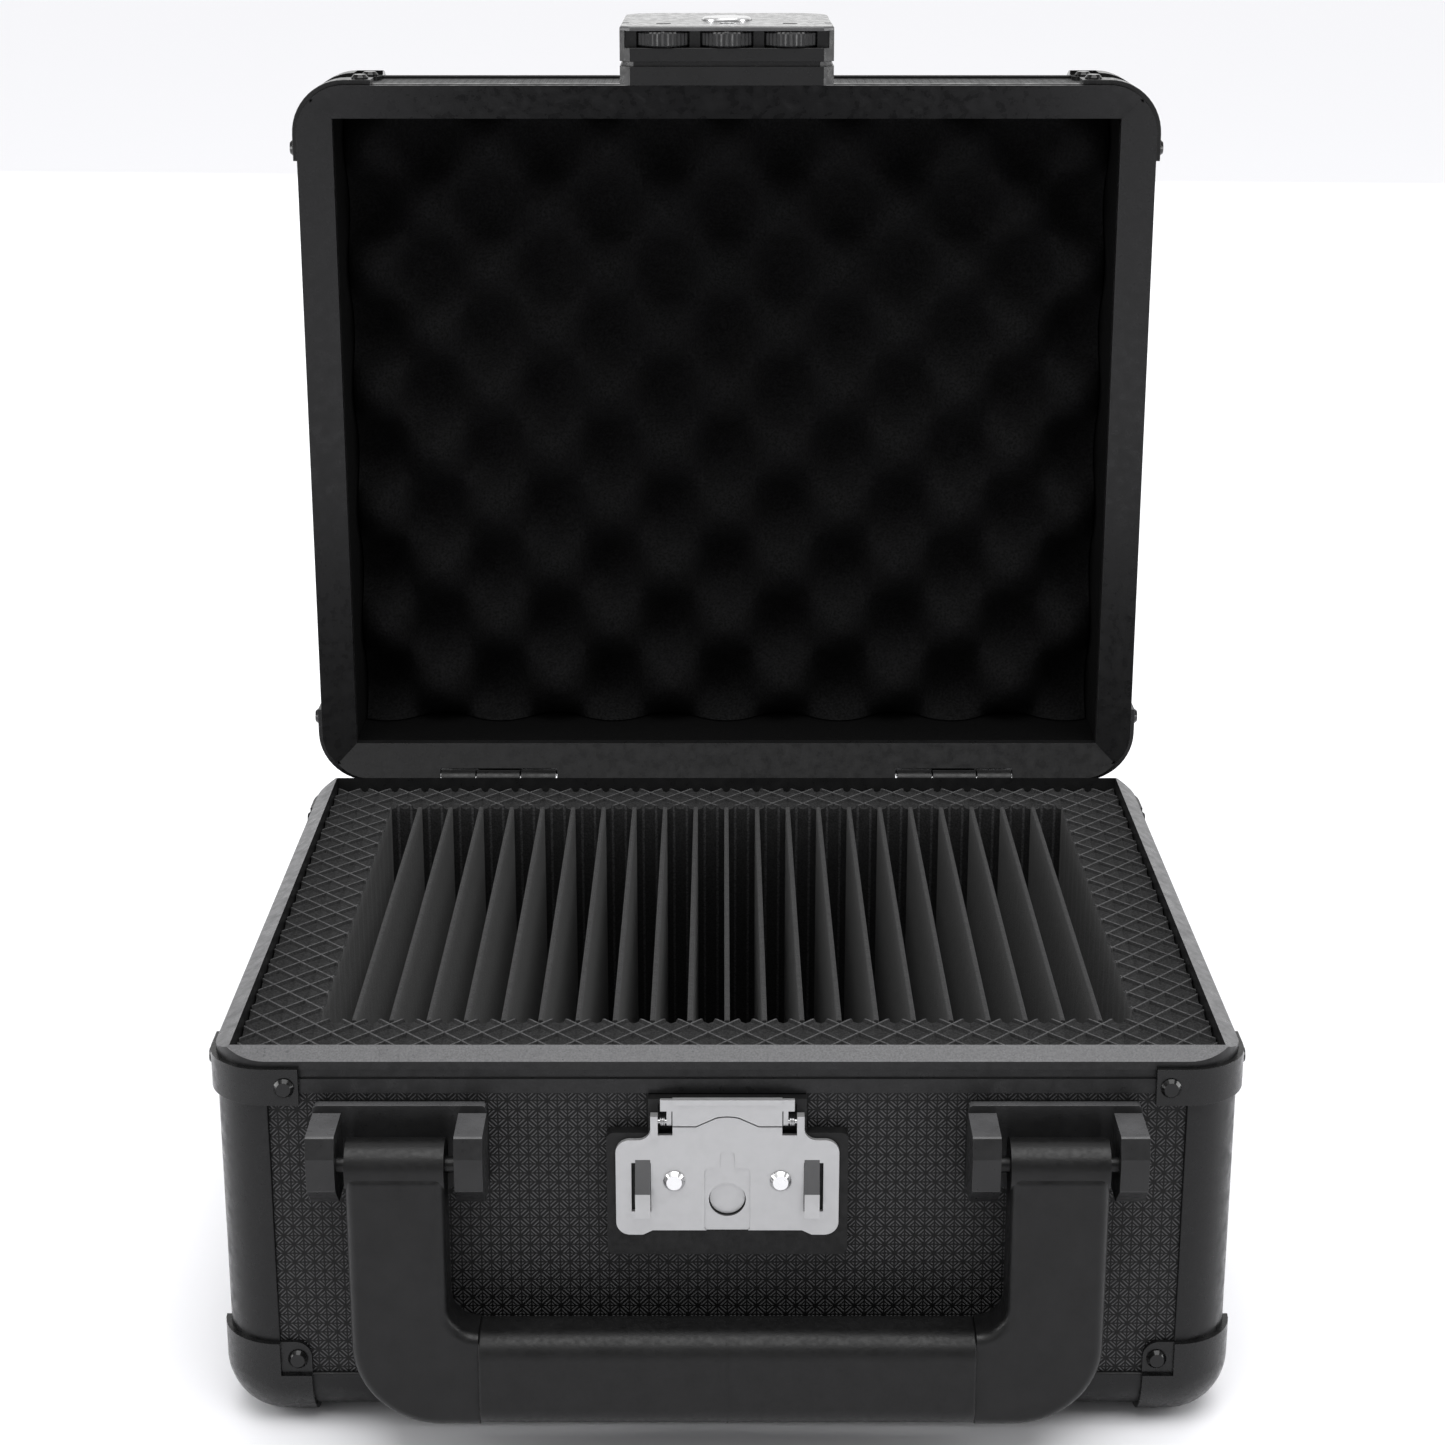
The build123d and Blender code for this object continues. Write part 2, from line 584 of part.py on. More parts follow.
ARM_OUT = HANDLE_X + ARM_W / 2
ARM_IN = HANDLE_X - ARM_W / 2
GRIP_MID = (GRIP_LOW + GRIP_HIGH) / 2
with BuildPart() as handle_frame:
    with BuildSketch(front_view(HANDLE_OUT + GRIP_OFF - ARM_T / 2)):
        with Locations((0, (GRIP_LOW + HANDLE_Z) / 2)):
            outline = Rectangle(2 * ARM_OUT, HANDLE_Z - GRIP_LOW)
        fillet(outline.vertices().group_by(Axis.Y)[0], ARM_CORNER)
        with Locations((0, HANDLE_Z)):
            RectangleRounded(2 * ARM_IN, 2 * (HANDLE_Z - GRIP_HIGH), 6, mode=Mode.SUBTRACT)
    extrude(amount=ARM_T)
    fillet(handle_frame.edges().filter_by(lambda e: e.length > 8), 2.2)
    for x in (-HANDLE_X, HANDLE_X):
        with BuildSketch(side_view(x + ARM_W / 2)):
            with Locations((HANDLE_OUT, HANDLE_Z)):
                Circle(ARM_T / 2)
        extrude(amount=ARM_W)
        with BuildSketch(side_view(x + ARM_W / 2 + 1)):
            with Locations((HANDLE_OUT, HANDLE_Z)):
                Circle(HANDLE_PIN_R + RUNNING)
        extrude(amount=ARM_W + 2, mode=Mode.SUBTRACT)
    with BuildSketch(side_view(SLEEVE_X)):
        with Locations((HANDLE_OUT + GRIP_OFF, GRIP_MID)):
            Rectangle(2 * GRIP_T, 2 * (GRIP_HIGH - GRIP_LOW))
            RectangleRounded(*GRIP_CORE, 2, mode=Mode.SUBTRACT)
    extrude(amount=2 * SLEEVE_X, mode=Mode.SUBTRACT)
handle_frame.part.label = "handle_frame"
export_step(handle_frame.part, "parts/handle_frame.step")

with BuildPart() as handle_grip:
    with BuildSketch(side_view(SLEEVE_X)):
        with Locations((HANDLE_OUT + GRIP_OFF, GRIP_MID)):
            RectangleRounded(GRIP_T, GRIP_HIGH - GRIP_LOW, 5)
            RectangleRounded(*GRIP_CORE, 2, mode=Mode.SUBTRACT)
    extrude(amount=2 * SLEEVE_X)
handle_grip.part.label = "handle_grip"
export_step(handle_grip.part, "parts/handle_grip.step")

# ---- strike plate on the base's front ----
PLATE_FACE = PAD_OUT + PLATE_T
with BuildPart() as strike_pad:
    with BuildSketch(front_view(-RECESS)):
        with Locations((0, 56.2)):
            RectangleRounded(49.6, 27.6, 1.5)
        with Locations((0, 72.8)):
            Rectangle(32.4, 9.6)
    extrude(amount=RECESS + PAD_OUT)
    with BuildSketch(front_view(PAD_OUT)):
        with Locations((-12.6, 73.2), (12.6, 73.2)):
            Rectangle(3.2, 6.6)
    extrude(amount=-1.6, mode=Mode.SUBTRACT)
    with BuildSketch(front_view(PAD_OUT)):
        with Locations((0, SCREW_Z)):
            Circle(SCREW_R + 0.1)
    extrude(amount=-(PAD_OUT + RECESS), mode=Mode.SUBTRACT)
    with BuildSketch(front_view(PAD_OUT)):
        with Locations((-STRIKE_RIVET[0], STRIKE_RIVET[1]), STRIKE_RIVET):
            Circle(SHANK_R)
    extrude(amount=-(PAD_OUT + RECESS), mode=Mode.SUBTRACT)
strike_pad.part.label = "strike_pad"
export_step(strike_pad.part, "parts/strike_pad.step")


def plate_top_line(gap):
    """The curved line between the strike plate and its flap, moved up by gap."""
    Line((-FLAP_X, FLAP_LOW + gap), (-6.4, FLAP_LOW + gap))
    Line((-6.4, FLAP_LOW + gap), (-2.4, 73.6 + gap))
    ThreePointArc((-2.4, 73.6 + gap), (0, 73.9 + gap), (2.4, 73.6 + gap))
    Line((2.4, 73.6 + gap), (6.4, FLAP_LOW + gap))
    Line((6.4, FLAP_LOW + gap), (FLAP_X, FLAP_LOW + gap))


def both_sides(points):
    """A line through the points, and the same line mirrored across the case's middle."""
    Polyline(*points)
    Polyline(*[(-x, z) for x, z in points])


with BuildPart() as strike_plate:
    with BuildSketch(front_view(PAD_OUT)):
        with BuildLine():
            both_sides(
                [
                    (FLAP_X, FLAP_LOW),
                    (FLAP_X, WINDOW_LOW),
                    (EAR_IN, WINDOW_LOW),
                    (EAR_IN, NECK_HIGH),
                    (NECK_X, NECK_HIGH),
                    (NECK_X, PLATE_SHOULDER),
                    (PLATE_X, PLATE_SHOULDER),
                    (PLATE_X, PLATE_LOW),
                    (STEP_X + 2.0, PLATE_LOW),
                    (STEP_X, PLATE_LOW + 1.0),
                ]
            )
            plate_top_line(0)
            Line((STEP_X, PLATE_LOW + 1.0), (-STEP_X, PLATE_LOW + 1.0))
        outline = make_face()
        plate_corners = [v for v in outline.vertices() if abs(abs(v.X) - PLATE_X) < 0.01]
        fillet(plate_corners, 2.9)
        neck_line = [v for v in faces()[0].vertices() if abs(abs(v.X) - NECK_X) < 0.01]
        neck_corners = [v for v in neck_line if abs(v.Y - PLATE_SHOULDER) < 0.01]
        fillet(neck_corners, 2.6)
    extrude(amount=PLATE_T)
    with BuildSketch(front_view(PLATE_FACE)):
        with Locations((-14.95, 72.2), (14.95, 72.2)):
            Rectangle(1.5, 4.8)
    extrude(amount=1.2)
    with BuildSketch(front_view(PLATE_FACE)):
        with Locations((0, 55.4)):
            RectangleRounded(9.4, 14.2, 0.8)
        with Locations((0, 64.0)):
            RectangleRounded(3.0, 4.4, 0.6)
    extrude(amount=-0.35, mode=Mode.SUBTRACT)
    with BuildSketch(front_view(PLATE_FACE)):
        with Locations((0, SCREW_Z)):
            Circle(SCREW_R + 0.05)
        with Locations((-STRIKE_RIVET[0], STRIKE_RIVET[1]), STRIKE_RIVET):
            Circle(SHANK_R)
        window_x, window_w = HOOK_WINDOW
        with Locations((-window_x, 58.2), (window_x, 58.2)):
            Rectangle(window_w, 11.0)
    extrude(amount=-PLATE_T, mode=Mode.SUBTRACT)
    for sign in (-1, 1):
        with BuildSketch(side_view(sign * HOOK_X + HOOK_W / 2)):
            with BuildLine():
                Polyline(
                    (PAD_OUT, 64.4),
                    (PLATE_FACE, 64.4),
                    (PLATE_FACE + 2.2, 57.6),
                    (PLATE_FACE + 2.2, 52.2),
                    (PLATE_FACE + 1.1, 52.2),
                    (PLATE_FACE + 1.1, 56.8),
                    (PAD_OUT, 62.4),
                    close=True,
                )
            make_face()
        extrude(amount=HOOK_W)
        with BuildSketch(side_view(sign * 14.95 + 0.75)):
            with Locations((FLAP_OUT, FLAP_Z)):
                Circle(FLAP_PIN_R)
        extrude(amount=1.5, mode=Mode.SUBTRACT)
strike_plate.part.label = "strike_plate"
export_step(strike_plate.part, "parts/strike_plate.step")

with BuildPart() as strike_rivets:
    rivet_x, rivet_z = STRIKE_RIVET
    places = [Plane((x, FRONT - PLATE_FACE, rivet_z), z_dir=(0, -1, 0)) for x in (-rivet_x, rivet_x)]
    add(dome_rivets(places, 2.25, SHANK_R, PLATE_FACE + RECESS))
strike_rivets.part.label = "strike_rivets"
export_step(strike_rivets.part, "parts/strike_rivets.step")

with BuildPart() as strike_screw:
    with BuildSketch(front_view(-RECESS)):
        with Locations((0, SCREW_Z)):
            Circle(SCREW_R)
    extrude(amount=RECESS + PLATE_FACE - SCREW_SUNK)
strike_screw.part.label = "strike_screw"
export_step(strike_screw.part, "parts/strike_screw.step")

with BuildPart() as flap_pins:
    for x in (-11.4, NECK_X):
        with BuildSketch(side_view(x)):
            with Locations((FLAP_OUT, FLAP_Z)):
                Circle(FLAP_PIN_R)
        extrude(amount=4.3)
flap_pins.part.label = "flap_pins"
export_step(flap_pins.part, "parts/flap_pins.step")

FLAP_BACK = PAD_OUT + 0.4
with BuildPart() as strike_flap:
    with BuildSketch(front_view(FLAP_BACK)):
        with BuildLine():
            plate_top_line(0.4)
            both_sides(
                [
                    (FLAP_X, FLAP_LOW + 0.4),
                    (FLAP_X, TAB_LOW),
                    (TAB_X, TAB_LOW),
                    (TAB_X, TAB_HIGH),
                    (FLAP_X, TAB_HIGH),
                    (FLAP_X, FLAP_HIGH),
                ]
            )
            Line((FLAP_X, FLAP_HIGH), (-FLAP_X, FLAP_HIGH))
        make_face()
    extrude(amount=FLAP_T)
    with BuildSketch(front_view(FLAP_BACK + FLAP_T)):
        with Locations((0, 77.55)):
            Rectangle(2 * FLAP_X, 1.1)
    extrude(amount=0.5)
    for sign in (-1, 1):
        with BuildSketch(side_view(sign * 11.9 + 0.5)):
            with BuildLine():
                Polyline((FLAP_OUT - 0.4, 75.6), (FLAP_OUT + 0.5, 75.6), (FLAP_OUT + 0.9, 73.0))
                RadiusArc((FLAP_OUT + 0.9, 73.0), (FLAP_OUT - 0.9, 73.0), 0.9)
                Line((FLAP_OUT - 0.9, 73.0), (FLAP_OUT - 0.4, 75.6))
            make_face()
        extrude(amount=1.0)
        with BuildSketch(side_view(sign * 11.9 + 0.5)):
            with Locations((FLAP_OUT, FLAP_Z)):
                Circle(FLAP_PIN_R + 0.05)
        extrude(amount=1.0, mode=Mode.SUBTRACT)
strike_flap.part.label = "strike_flap"
export_step(strike_flap.part, "parts/strike_flap.step")

with BuildPart() as flap_springs:
    for x in (-13.2, 13.2):
        with BuildSketch(side_view(x + 0.6)):
            with Locations((FLAP_OUT, FLAP_Z)):
                Circle(1.0)
                Circle(FLAP_PIN_R, mode=Mode.SUBTRACT)
        extrude(amount=1.2)
flap_springs.part.label = "flap_springs"
export_step(flap_springs.part, "parts/flap_springs.step")

# ---- combination hasp: drawn on the closed lid and turned open with it ----
PIN_Z, PIN_OUT = HASP_PIN
HASP_MID_Z = (HASP_LOW + HASP_HIGH) / 2
HASP_LONG = HASP_HIGH - HASP_LOW
LUG_IN = 8.2
KNOB_R = 2.6


def lid_front(out):
    """front_view on the open lid."""
    return opened(front_view(out))


def lid_side(x):
    """side_view on the open lid."""
    return opened(side_view(x))


def hasp_blank(out_low, out_high, shrink):
    """The hasp's outline between two distances from the front face."""
    with BuildPart() as blank:
        with BuildSketch(lid_front(out_low)):
            with Locations((0, HASP_MID_Z)):
                outline = Rectangle(HASP_W - 2 * shrink, HASP_LONG - 2 * shrink)
            fillet(outline.vertices().group_by(Axis.Y)[-1], 8.5)
            chamfer(faces()[0].vertices().group_by(Axis.Y)[0], 2.4)
        extrude(amount=out_high - out_low)
    return blank.part


with BuildPart() as lock_hinge_leaf:
    with BuildSketch(lid_front(0)):
        with Locations((0, 99.5)):
            RectangleRounded(40, 25, 2)
    extrude(amount=LEAF_T)
    with BuildSketch(lid_side(7.7)):
        with Locations((PIN_OUT, PIN_Z)):
            Circle(KNOB_R - 0.1)
        with Locations((PIN_OUT / 2, PIN_Z)):
            Rectangle(PIN_OUT, 2.6)
    extrude(amount=15.4)
    with BuildSketch(lid_side(8)):
        with Locations((PIN_OUT, PIN_Z)):
            Circle(HINGE_PIN_R)
    extrude(amount=16, mode=Mode.SUBTRACT)
    with BuildSketch(lid_front(LEAF_T)):
        with Locations((-15, 104), (-5, 104), (5, 104), (15, 104)):
            Circle(SHANK_R)
    extrude(amount=-LEAF_T, mode=Mode.SUBTRACT)
lock_hinge_leaf.part.label = "lock_hinge_leaf"
export_step(lock_hinge_leaf.part, "parts/lock_hinge_leaf.step")

with BuildPart() as lock_leaf_rivets:
    places = [opened(Plane((x, FRONT - LEAF_T, 104), z_dir=(0, -1, 0))) for x in (-15, -5, 5, 15)]
    add(dome_rivets(places, 2.0, SHANK_R, LEAF_T + RECESS))
lock_leaf_rivets.part.label = "lock_leaf_rivets"
export_step(lock_leaf_rivets.part, "parts/lock_leaf_rivets.step")

with BuildPart() as lock_hinge_pin:
    with BuildSketch(lid_side(HASP_PIN_HALF)):
        with Locations((PIN_OUT, PIN_Z)):
            Circle(HINGE_PIN_R)
    extrude(amount=2 * HASP_PIN_HALF)
lock_hinge_pin.part.label = "lock_hinge_pin"
export_step(lock_hinge_pin.part, "parts/lock_hinge_pin.step")

with BuildPart() as lock_back_shell:
    add(hasp_blank(HASP_BACK, HASP_MID - 1.1, 0))
    add(hasp_blank(HASP_MID - 1.1, HASP_MID, 0.8))
    with BuildSketch(lid_front(HASP_BACK)):
        with Locations((0, BOX_Z)):
            RectangleRounded(BOX_W, BOX_H, 1.5)
        with Locations((0, 91)):
            Rectangle(2 * LUG_IN, 16)
    extrude(amount=HASP_MID - HASP_BACK, mode=Mode.SUBTRACT)
    with BuildSketch(lid_side(HASP_PIN_HALF + 0.3)):
        with Locations((PIN_OUT, PIN_Z)):
            Circle(HINGE_PIN_R + RUNNING)
    extrude(amount=2 * HASP_PIN_HALF + 0.6, mode=Mode.SUBTRACT)
lock_back_shell.part.label = "lock_back_shell"
export_step(lock_back_shell.part, "parts/lock_back_shell.step")

DIAL_LOW = HASP_FACE - DIAL_T
BUTTON_LOW = HASP_FACE - 1.4
SPRING_LOW = BUTTON_LOW - SPRING_H
BOLT_LOW = HASP_MID - BOLT_T - 0.3
with BuildPart() as lock_housing:
    add(hasp_blank(HASP_MID, HASP_FACE, 0))
    with BuildSketch(lid_front(DIAL_LOW - 0.2)):
        with Locations((0, HASP_LOW)):
            Rectangle(DIAL_SLOT_W, 4.0)
        for i in (-1, 0, 1):
            with Locations((i * DIAL_PITCH, DIAL_Z)):
                Circle(DIAL_R + 0.3)
    extrude(amount=DIAL_T + 0.2, mode=Mode.SUBTRACT)
    with BuildSketch(lid_front(SPRING_LOW)):
        with Locations((0, BUTTON_Z)):
            Circle(BUTTON_R + BUTTON_GAP)
    extrude(amount=HASP_FACE - SPRING_LOW, mode=Mode.SUBTRACT)
    with BuildSketch(lid_front(HASP_MID)):
        with Locations((0, BUTTON_Z)):
            Circle(BUTTON_STEM_R + RUNNING)
    extrude(amount=HASP_FACE - HASP_MID, mode=Mode.SUBTRACT)
    with BuildSketch(lid_side(LUG_IN)):
        with Locations((PIN_OUT, PIN_Z)):
            Circle(KNOB_R + 0.4)
    extrude(amount=2 * LUG_IN, mode=Mode.SUBTRACT)
    with BuildSketch(lid_front(HASP_MID)):
        with Locations((0, PIN_Z + 4)):
            Rectangle(2 * LUG_IN, 7.6)
    extrude(amount=1.6, mode=Mode.SUBTRACT)
    with BuildSketch(lid_front(DIAL_LOW - 0.2)):
        for i in (-1, 0, 1):
            with Locations((i * DIAL_PITCH, DIAL_Z)):
                Circle(DIAL_POST_R)
    extrude(amount=-2.0, mode=Mode.SUBTRACT)
lock_housing.part.label = "lock_housing"
export_step(lock_housing.part, "parts/lock_housing.step")

with BuildPart() as dial_posts:
    with BuildSketch(lid_front(DIAL_LOW - 2.2)):
        for i in (-1, 0, 1):
            with Locations((i * DIAL_PITCH, DIAL_Z)):
                Circle(DIAL_POST_R)
    extrude(amount=DIAL_T + 2.2)
dial_posts.part.label = "dial_posts"
export_step(dial_posts.part, "parts/dial_posts.step")

with BuildPart() as lock_face_plate:
    add(hasp_blank(HASP_FACE, HASP_OUT, 0))
    with BuildSketch(lid_front(HASP_FACE)):
        with Locations((0, BUTTON_Z)):
            Circle(BUTTON_R + BUTTON_GAP)
        for i in (-1, 0, 1):
            with Locations((i * DIAL_PITCH, DIAL_Z + 5.0)):
                RectangleRounded(3.4, 2.6, 0.4)
        with Locations((-HASP_W / 2, 56), (HASP_W / 2, 56)):
            Rectangle(3.0, 1.8)
    extrude(amount=HASP_OUT - HASP_FACE, mode=Mode.SUBTRACT)
    fillet(lock_face_plate.faces().sort_by(Axis(LID.origin, LID.y_dir))[-1].outer_wire().edges(), 0.6)
lock_face_plate.part.label = "lock_face_plate"
export_step(lock_face_plate.part, "parts/lock_face_plate.step")

for i, word in ((-1, "left"), (0, "middle"), (1, "right")):
    with BuildPart() as dial:
        with BuildSketch(lid_front(DIAL_LOW)):
            with Locations((i * DIAL_PITCH, DIAL_Z)):
                Circle(DIAL_R)
                Circle(DIAL_POST_R + RUNNING, mode=Mode.SUBTRACT)
        extrude(amount=DIAL_T - 0.25)
    dial.part.label = f"dial_{word}"
    export_step(dial.part, f"parts/dial_{word}.step")

with BuildPart() as lock_button:
    with BuildSketch(lid_front(BUTTON_LOW)):
        with Locations((0, BUTTON_Z)):
            Circle(BUTTON_R)
    extrude(amount=BUTTON_H)
    fillet(lock_button.faces().sort_by(Axis(LID.origin, LID.y_dir))[-1].edges(), 0.7)
    with BuildSketch(lid_front(BUTTON_LOW)):
        with Locations((0, BUTTON_Z)):
            Circle(BUTTON_STEM_R)
    extrude(amount=BOLT_LOW + 0.4 - BUTTON_LOW)
lock_button.part.label = "lock_button"
export_step(lock_button.part, "parts/lock_button.step")

with BuildPart() as button_spring:
    with BuildSketch(lid_front(SPRING_LOW)):
        with Locations((0, BUTTON_Z)):
            Circle(3.2)
            Circle(2.2, mode=Mode.SUBTRACT)
    extrude(amount=SPRING_H)
button_spring.part.label = "button_spring"
export_step(button_spring.part, "parts/button_spring.step")

with BuildPart() as lock_bolt:
    with BuildSketch(lid_front(BOLT_LOW)):
        with Locations((0, 64)):
            RectangleRounded(42, 20, 1.0)
        with Locations((0, BUTTON_Z)):
            SlotOverall(8.0, 4.0, rotation=90, mode=Mode.SUBTRACT)
    extrude(amount=BOLT_T)
    for x in (-CLAW[0], CLAW[0]):
        with BuildSketch(lid_front(BOLT_LOW)):
            with Locations((x, CLAW[1])):
                Rectangle(3.0, 4.0)
        extrude(amount=-1.4)
lock_bolt.part.label = "lock_bolt"
export_step(lock_bolt.part, "parts/lock_bolt.step")
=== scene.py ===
import json
import math
import random

import bmesh
import bpy
from mathutils import Matrix, Vector

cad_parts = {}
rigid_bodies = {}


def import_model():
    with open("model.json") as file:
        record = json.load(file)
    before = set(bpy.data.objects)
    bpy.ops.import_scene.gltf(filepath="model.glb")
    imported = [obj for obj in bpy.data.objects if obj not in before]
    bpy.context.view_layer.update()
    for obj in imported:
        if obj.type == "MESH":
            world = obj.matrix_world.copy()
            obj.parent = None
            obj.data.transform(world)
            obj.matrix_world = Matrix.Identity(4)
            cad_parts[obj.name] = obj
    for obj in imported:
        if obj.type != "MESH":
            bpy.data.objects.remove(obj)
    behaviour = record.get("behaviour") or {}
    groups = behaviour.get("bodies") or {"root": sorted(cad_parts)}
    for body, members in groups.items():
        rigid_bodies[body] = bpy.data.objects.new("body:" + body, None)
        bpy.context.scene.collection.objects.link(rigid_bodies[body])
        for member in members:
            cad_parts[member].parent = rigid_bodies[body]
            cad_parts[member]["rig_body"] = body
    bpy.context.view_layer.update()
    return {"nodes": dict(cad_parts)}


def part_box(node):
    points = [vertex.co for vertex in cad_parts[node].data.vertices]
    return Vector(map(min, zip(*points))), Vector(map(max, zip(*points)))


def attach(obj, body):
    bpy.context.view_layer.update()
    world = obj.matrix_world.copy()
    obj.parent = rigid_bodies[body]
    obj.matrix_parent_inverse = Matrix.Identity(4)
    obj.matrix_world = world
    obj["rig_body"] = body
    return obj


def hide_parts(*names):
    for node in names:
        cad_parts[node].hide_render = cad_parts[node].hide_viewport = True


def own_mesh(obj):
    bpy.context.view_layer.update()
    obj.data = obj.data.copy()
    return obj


# The looks of a small black framed hard case that stands open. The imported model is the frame;
# every piece here lies where a CAD node lies and rides on that node's body. Metres throughout.

MM = 0.001
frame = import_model()
scene = bpy.context.scene
random.seed(7)

# ---- places read from the frame ----
BASE_LOW, BASE_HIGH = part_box("base_rim")
LID_LOW, LID_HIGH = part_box("lid_rim")
CASE_Y = (BASE_LOW.y + BASE_HIGH.y) / 2


# ---- shader building blocks ----
class Shader:
    """A material's node tree, with short calls for the nodes that the surfaces below share."""

    def __init__(self, name, color, roughness, metallic=0.0, specular=0.5):
        self.material = bpy.data.materials.new(name)
        self.material.use_nodes = True
        self.tree = self.material.node_tree
        self.shader = self.tree.nodes["Principled BSDF"]
        self.shader.inputs["Base Color"].default_value = (*color, 1)
        self.shader.inputs["Roughness"].default_value = roughness
        self.shader.inputs["Metallic"].default_value = metallic
        self.shader.inputs["Specular IOR Level"].default_value = specular
        self.material.diffuse_color = (*color, 1)
        self.normal = None

    def node(self, kind, **inputs):
        made = self.tree.nodes.new(kind)
        for key, value in inputs.items():
            self.feed(made.inputs[key.replace("_", " ")], value)
        return made

    def feed(self, socket, value):
        if isinstance(value, bpy.types.NodeSocket):
            self.tree.links.new(value, socket)
        else:
            socket.default_value = value

    def math(self, operation, a, b=0.0):
        made = self.tree.nodes.new("ShaderNodeMath")
        made.operation = operation
        self.feed(made.inputs[0], a)
        self.feed(made.inputs[1], b)
        return made.outputs[0]

    def place(self):
        """The point on the surface in the piece's own frame."""
        return self.node("ShaderNodeTexCoord").outputs["Object"]

    def axes(self):
        return self.node("ShaderNodeSeparateXYZ", Vector=self.place()).outputs

    def noise(self, size, detail=3.0, stretch=(1, 1, 1)):
        """Noise from 0 to 1 whose features are about `size` across."""
        mapping = self.node("ShaderNodeMapping", Vector=self.place(), Scale=stretch)
        made = self.node("ShaderNodeTexNoise", Vector=mapping.outputs[0], Scale=1 / size, Detail=detail)
        return made.outputs["Fac"]

    def between(self, value, low, high, from_low=0.3, from_high=0.7):
        made = self.node("ShaderNodeMapRange", Value=value)
        made.inputs["From Min"].default_value = from_low
        made.inputs["From Max"].default_value = from_high
        made.inputs["To Min"].default_value = low
        made.inputs["To Max"].default_value = high
        return made.outputs[0]

    def tint(self, value, dark, light):
        """Base colour between two tones, by a value from 0 to 1."""
        ramp = self.node("ShaderNodeMix")
        ramp.data_type = "RGBA"  # its colour sockets are inputs 6 and 7 and output 2
        self.feed(ramp.inputs[0], value)
        ramp.inputs[6].default_value = (*dark, 1)
        ramp.inputs[7].default_value = (*light, 1)
        self.tree.links.new(ramp.outputs[2], self.shader.inputs["Base Color"])

    def rough(self, value):
        self.tree.links.new(value, self.shader.inputs["Roughness"])

    def bump(self, height, distance, strength=1.0):
        """Adds relief; `distance` is the relief's height in metres for a value of 1."""
        made = self.node("ShaderNodeBump", Height=height, Strength=strength, Distance=distance)
        if self.normal:
            self.tree.links.new(self.normal, made.inputs["Normal"])
        self.normal = made.outputs[0]
        self.tree.links.new(self.normal, self.shader.inputs["Normal"])


def grey(level, blue=1.03):
    return (level, level, level * blue)


def powder_coat(name, level, roughness, grain=0.35 * MM, relief=0.02 * MM):
    """Black coated metal: fine orange peel, blotches of gloss, slightly lighter where handled."""
    worn = 1.5  # how much lighter the lightest blotches are
    s = Shader(name, grey(level), roughness, specular=0.28)
    blotch = s.noise(9 * MM, 5)
    s.tint(s.between(blotch, 0, 1), grey(level), grey(level * worn))
    s.rough(s.between(s.noise(1.6 * MM, 4), roughness - 0.1, roughness + 0.12))
    s.bump(s.noise(grain, 2), relief)
    return s.material


def anodised(name, level, roughness, along):
    """Black anodised aluminium section: faint drawing lines along its length and fine speckle."""
    s = Shader(name, grey(level), roughness, metallic=0.3, specular=0.3)
    stretch = (0.03, 1, 1) if along == "x" else (1, 0.03, 0.03)
    lines = s.noise(0.25 * MM, 2, stretch)
    speckle = s.noise(0.4 * MM, 4)
    s.tint(s.between(speckle, 0, 1), grey(level * 0.8), grey(level * 1.35))
    s.rough(s.between(s.noise(2.5 * MM, 5), roughness - 0.1, roughness + 0.14))
    s.bump(lines, 0.006 * MM)
    s.bump(speckle, 0.004 * MM)
    return s.material


def satin_metal(name, level, roughness, metallic=1.0, stretch=(0.05, 1, 1)):
    """Bare metal with faint lines across it."""
    s = Shader(name, grey(level, 1.01), roughness, metallic)
    lines = s.noise(0.12 * MM, 2, stretch)
    s.rough(s.between(s.noise(1.2 * MM, 4), roughness - 0.05, roughness + 0.07))
    s.bump(lines, 0.0015 * MM)
    return s.material


def moulded(name, level, roughness, grain=0.6 * MM):
    """Moulded plastic with a fine leather grain and a slightly blotchy gloss."""
    relief = 0.03 * MM
    s = Shader(name, grey(level), roughness, specular=0.25)
    s.tint(s.between(s.noise(5 * MM, 5), 0, 1), grey(level * 0.75), grey(level * 1.35))
    s.rough(s.between(s.noise(1.1 * MM, 4), roughness - 0.08, roughness + 0.12))
    s.bump(s.noise(grain, 3), relief)
    return s.material


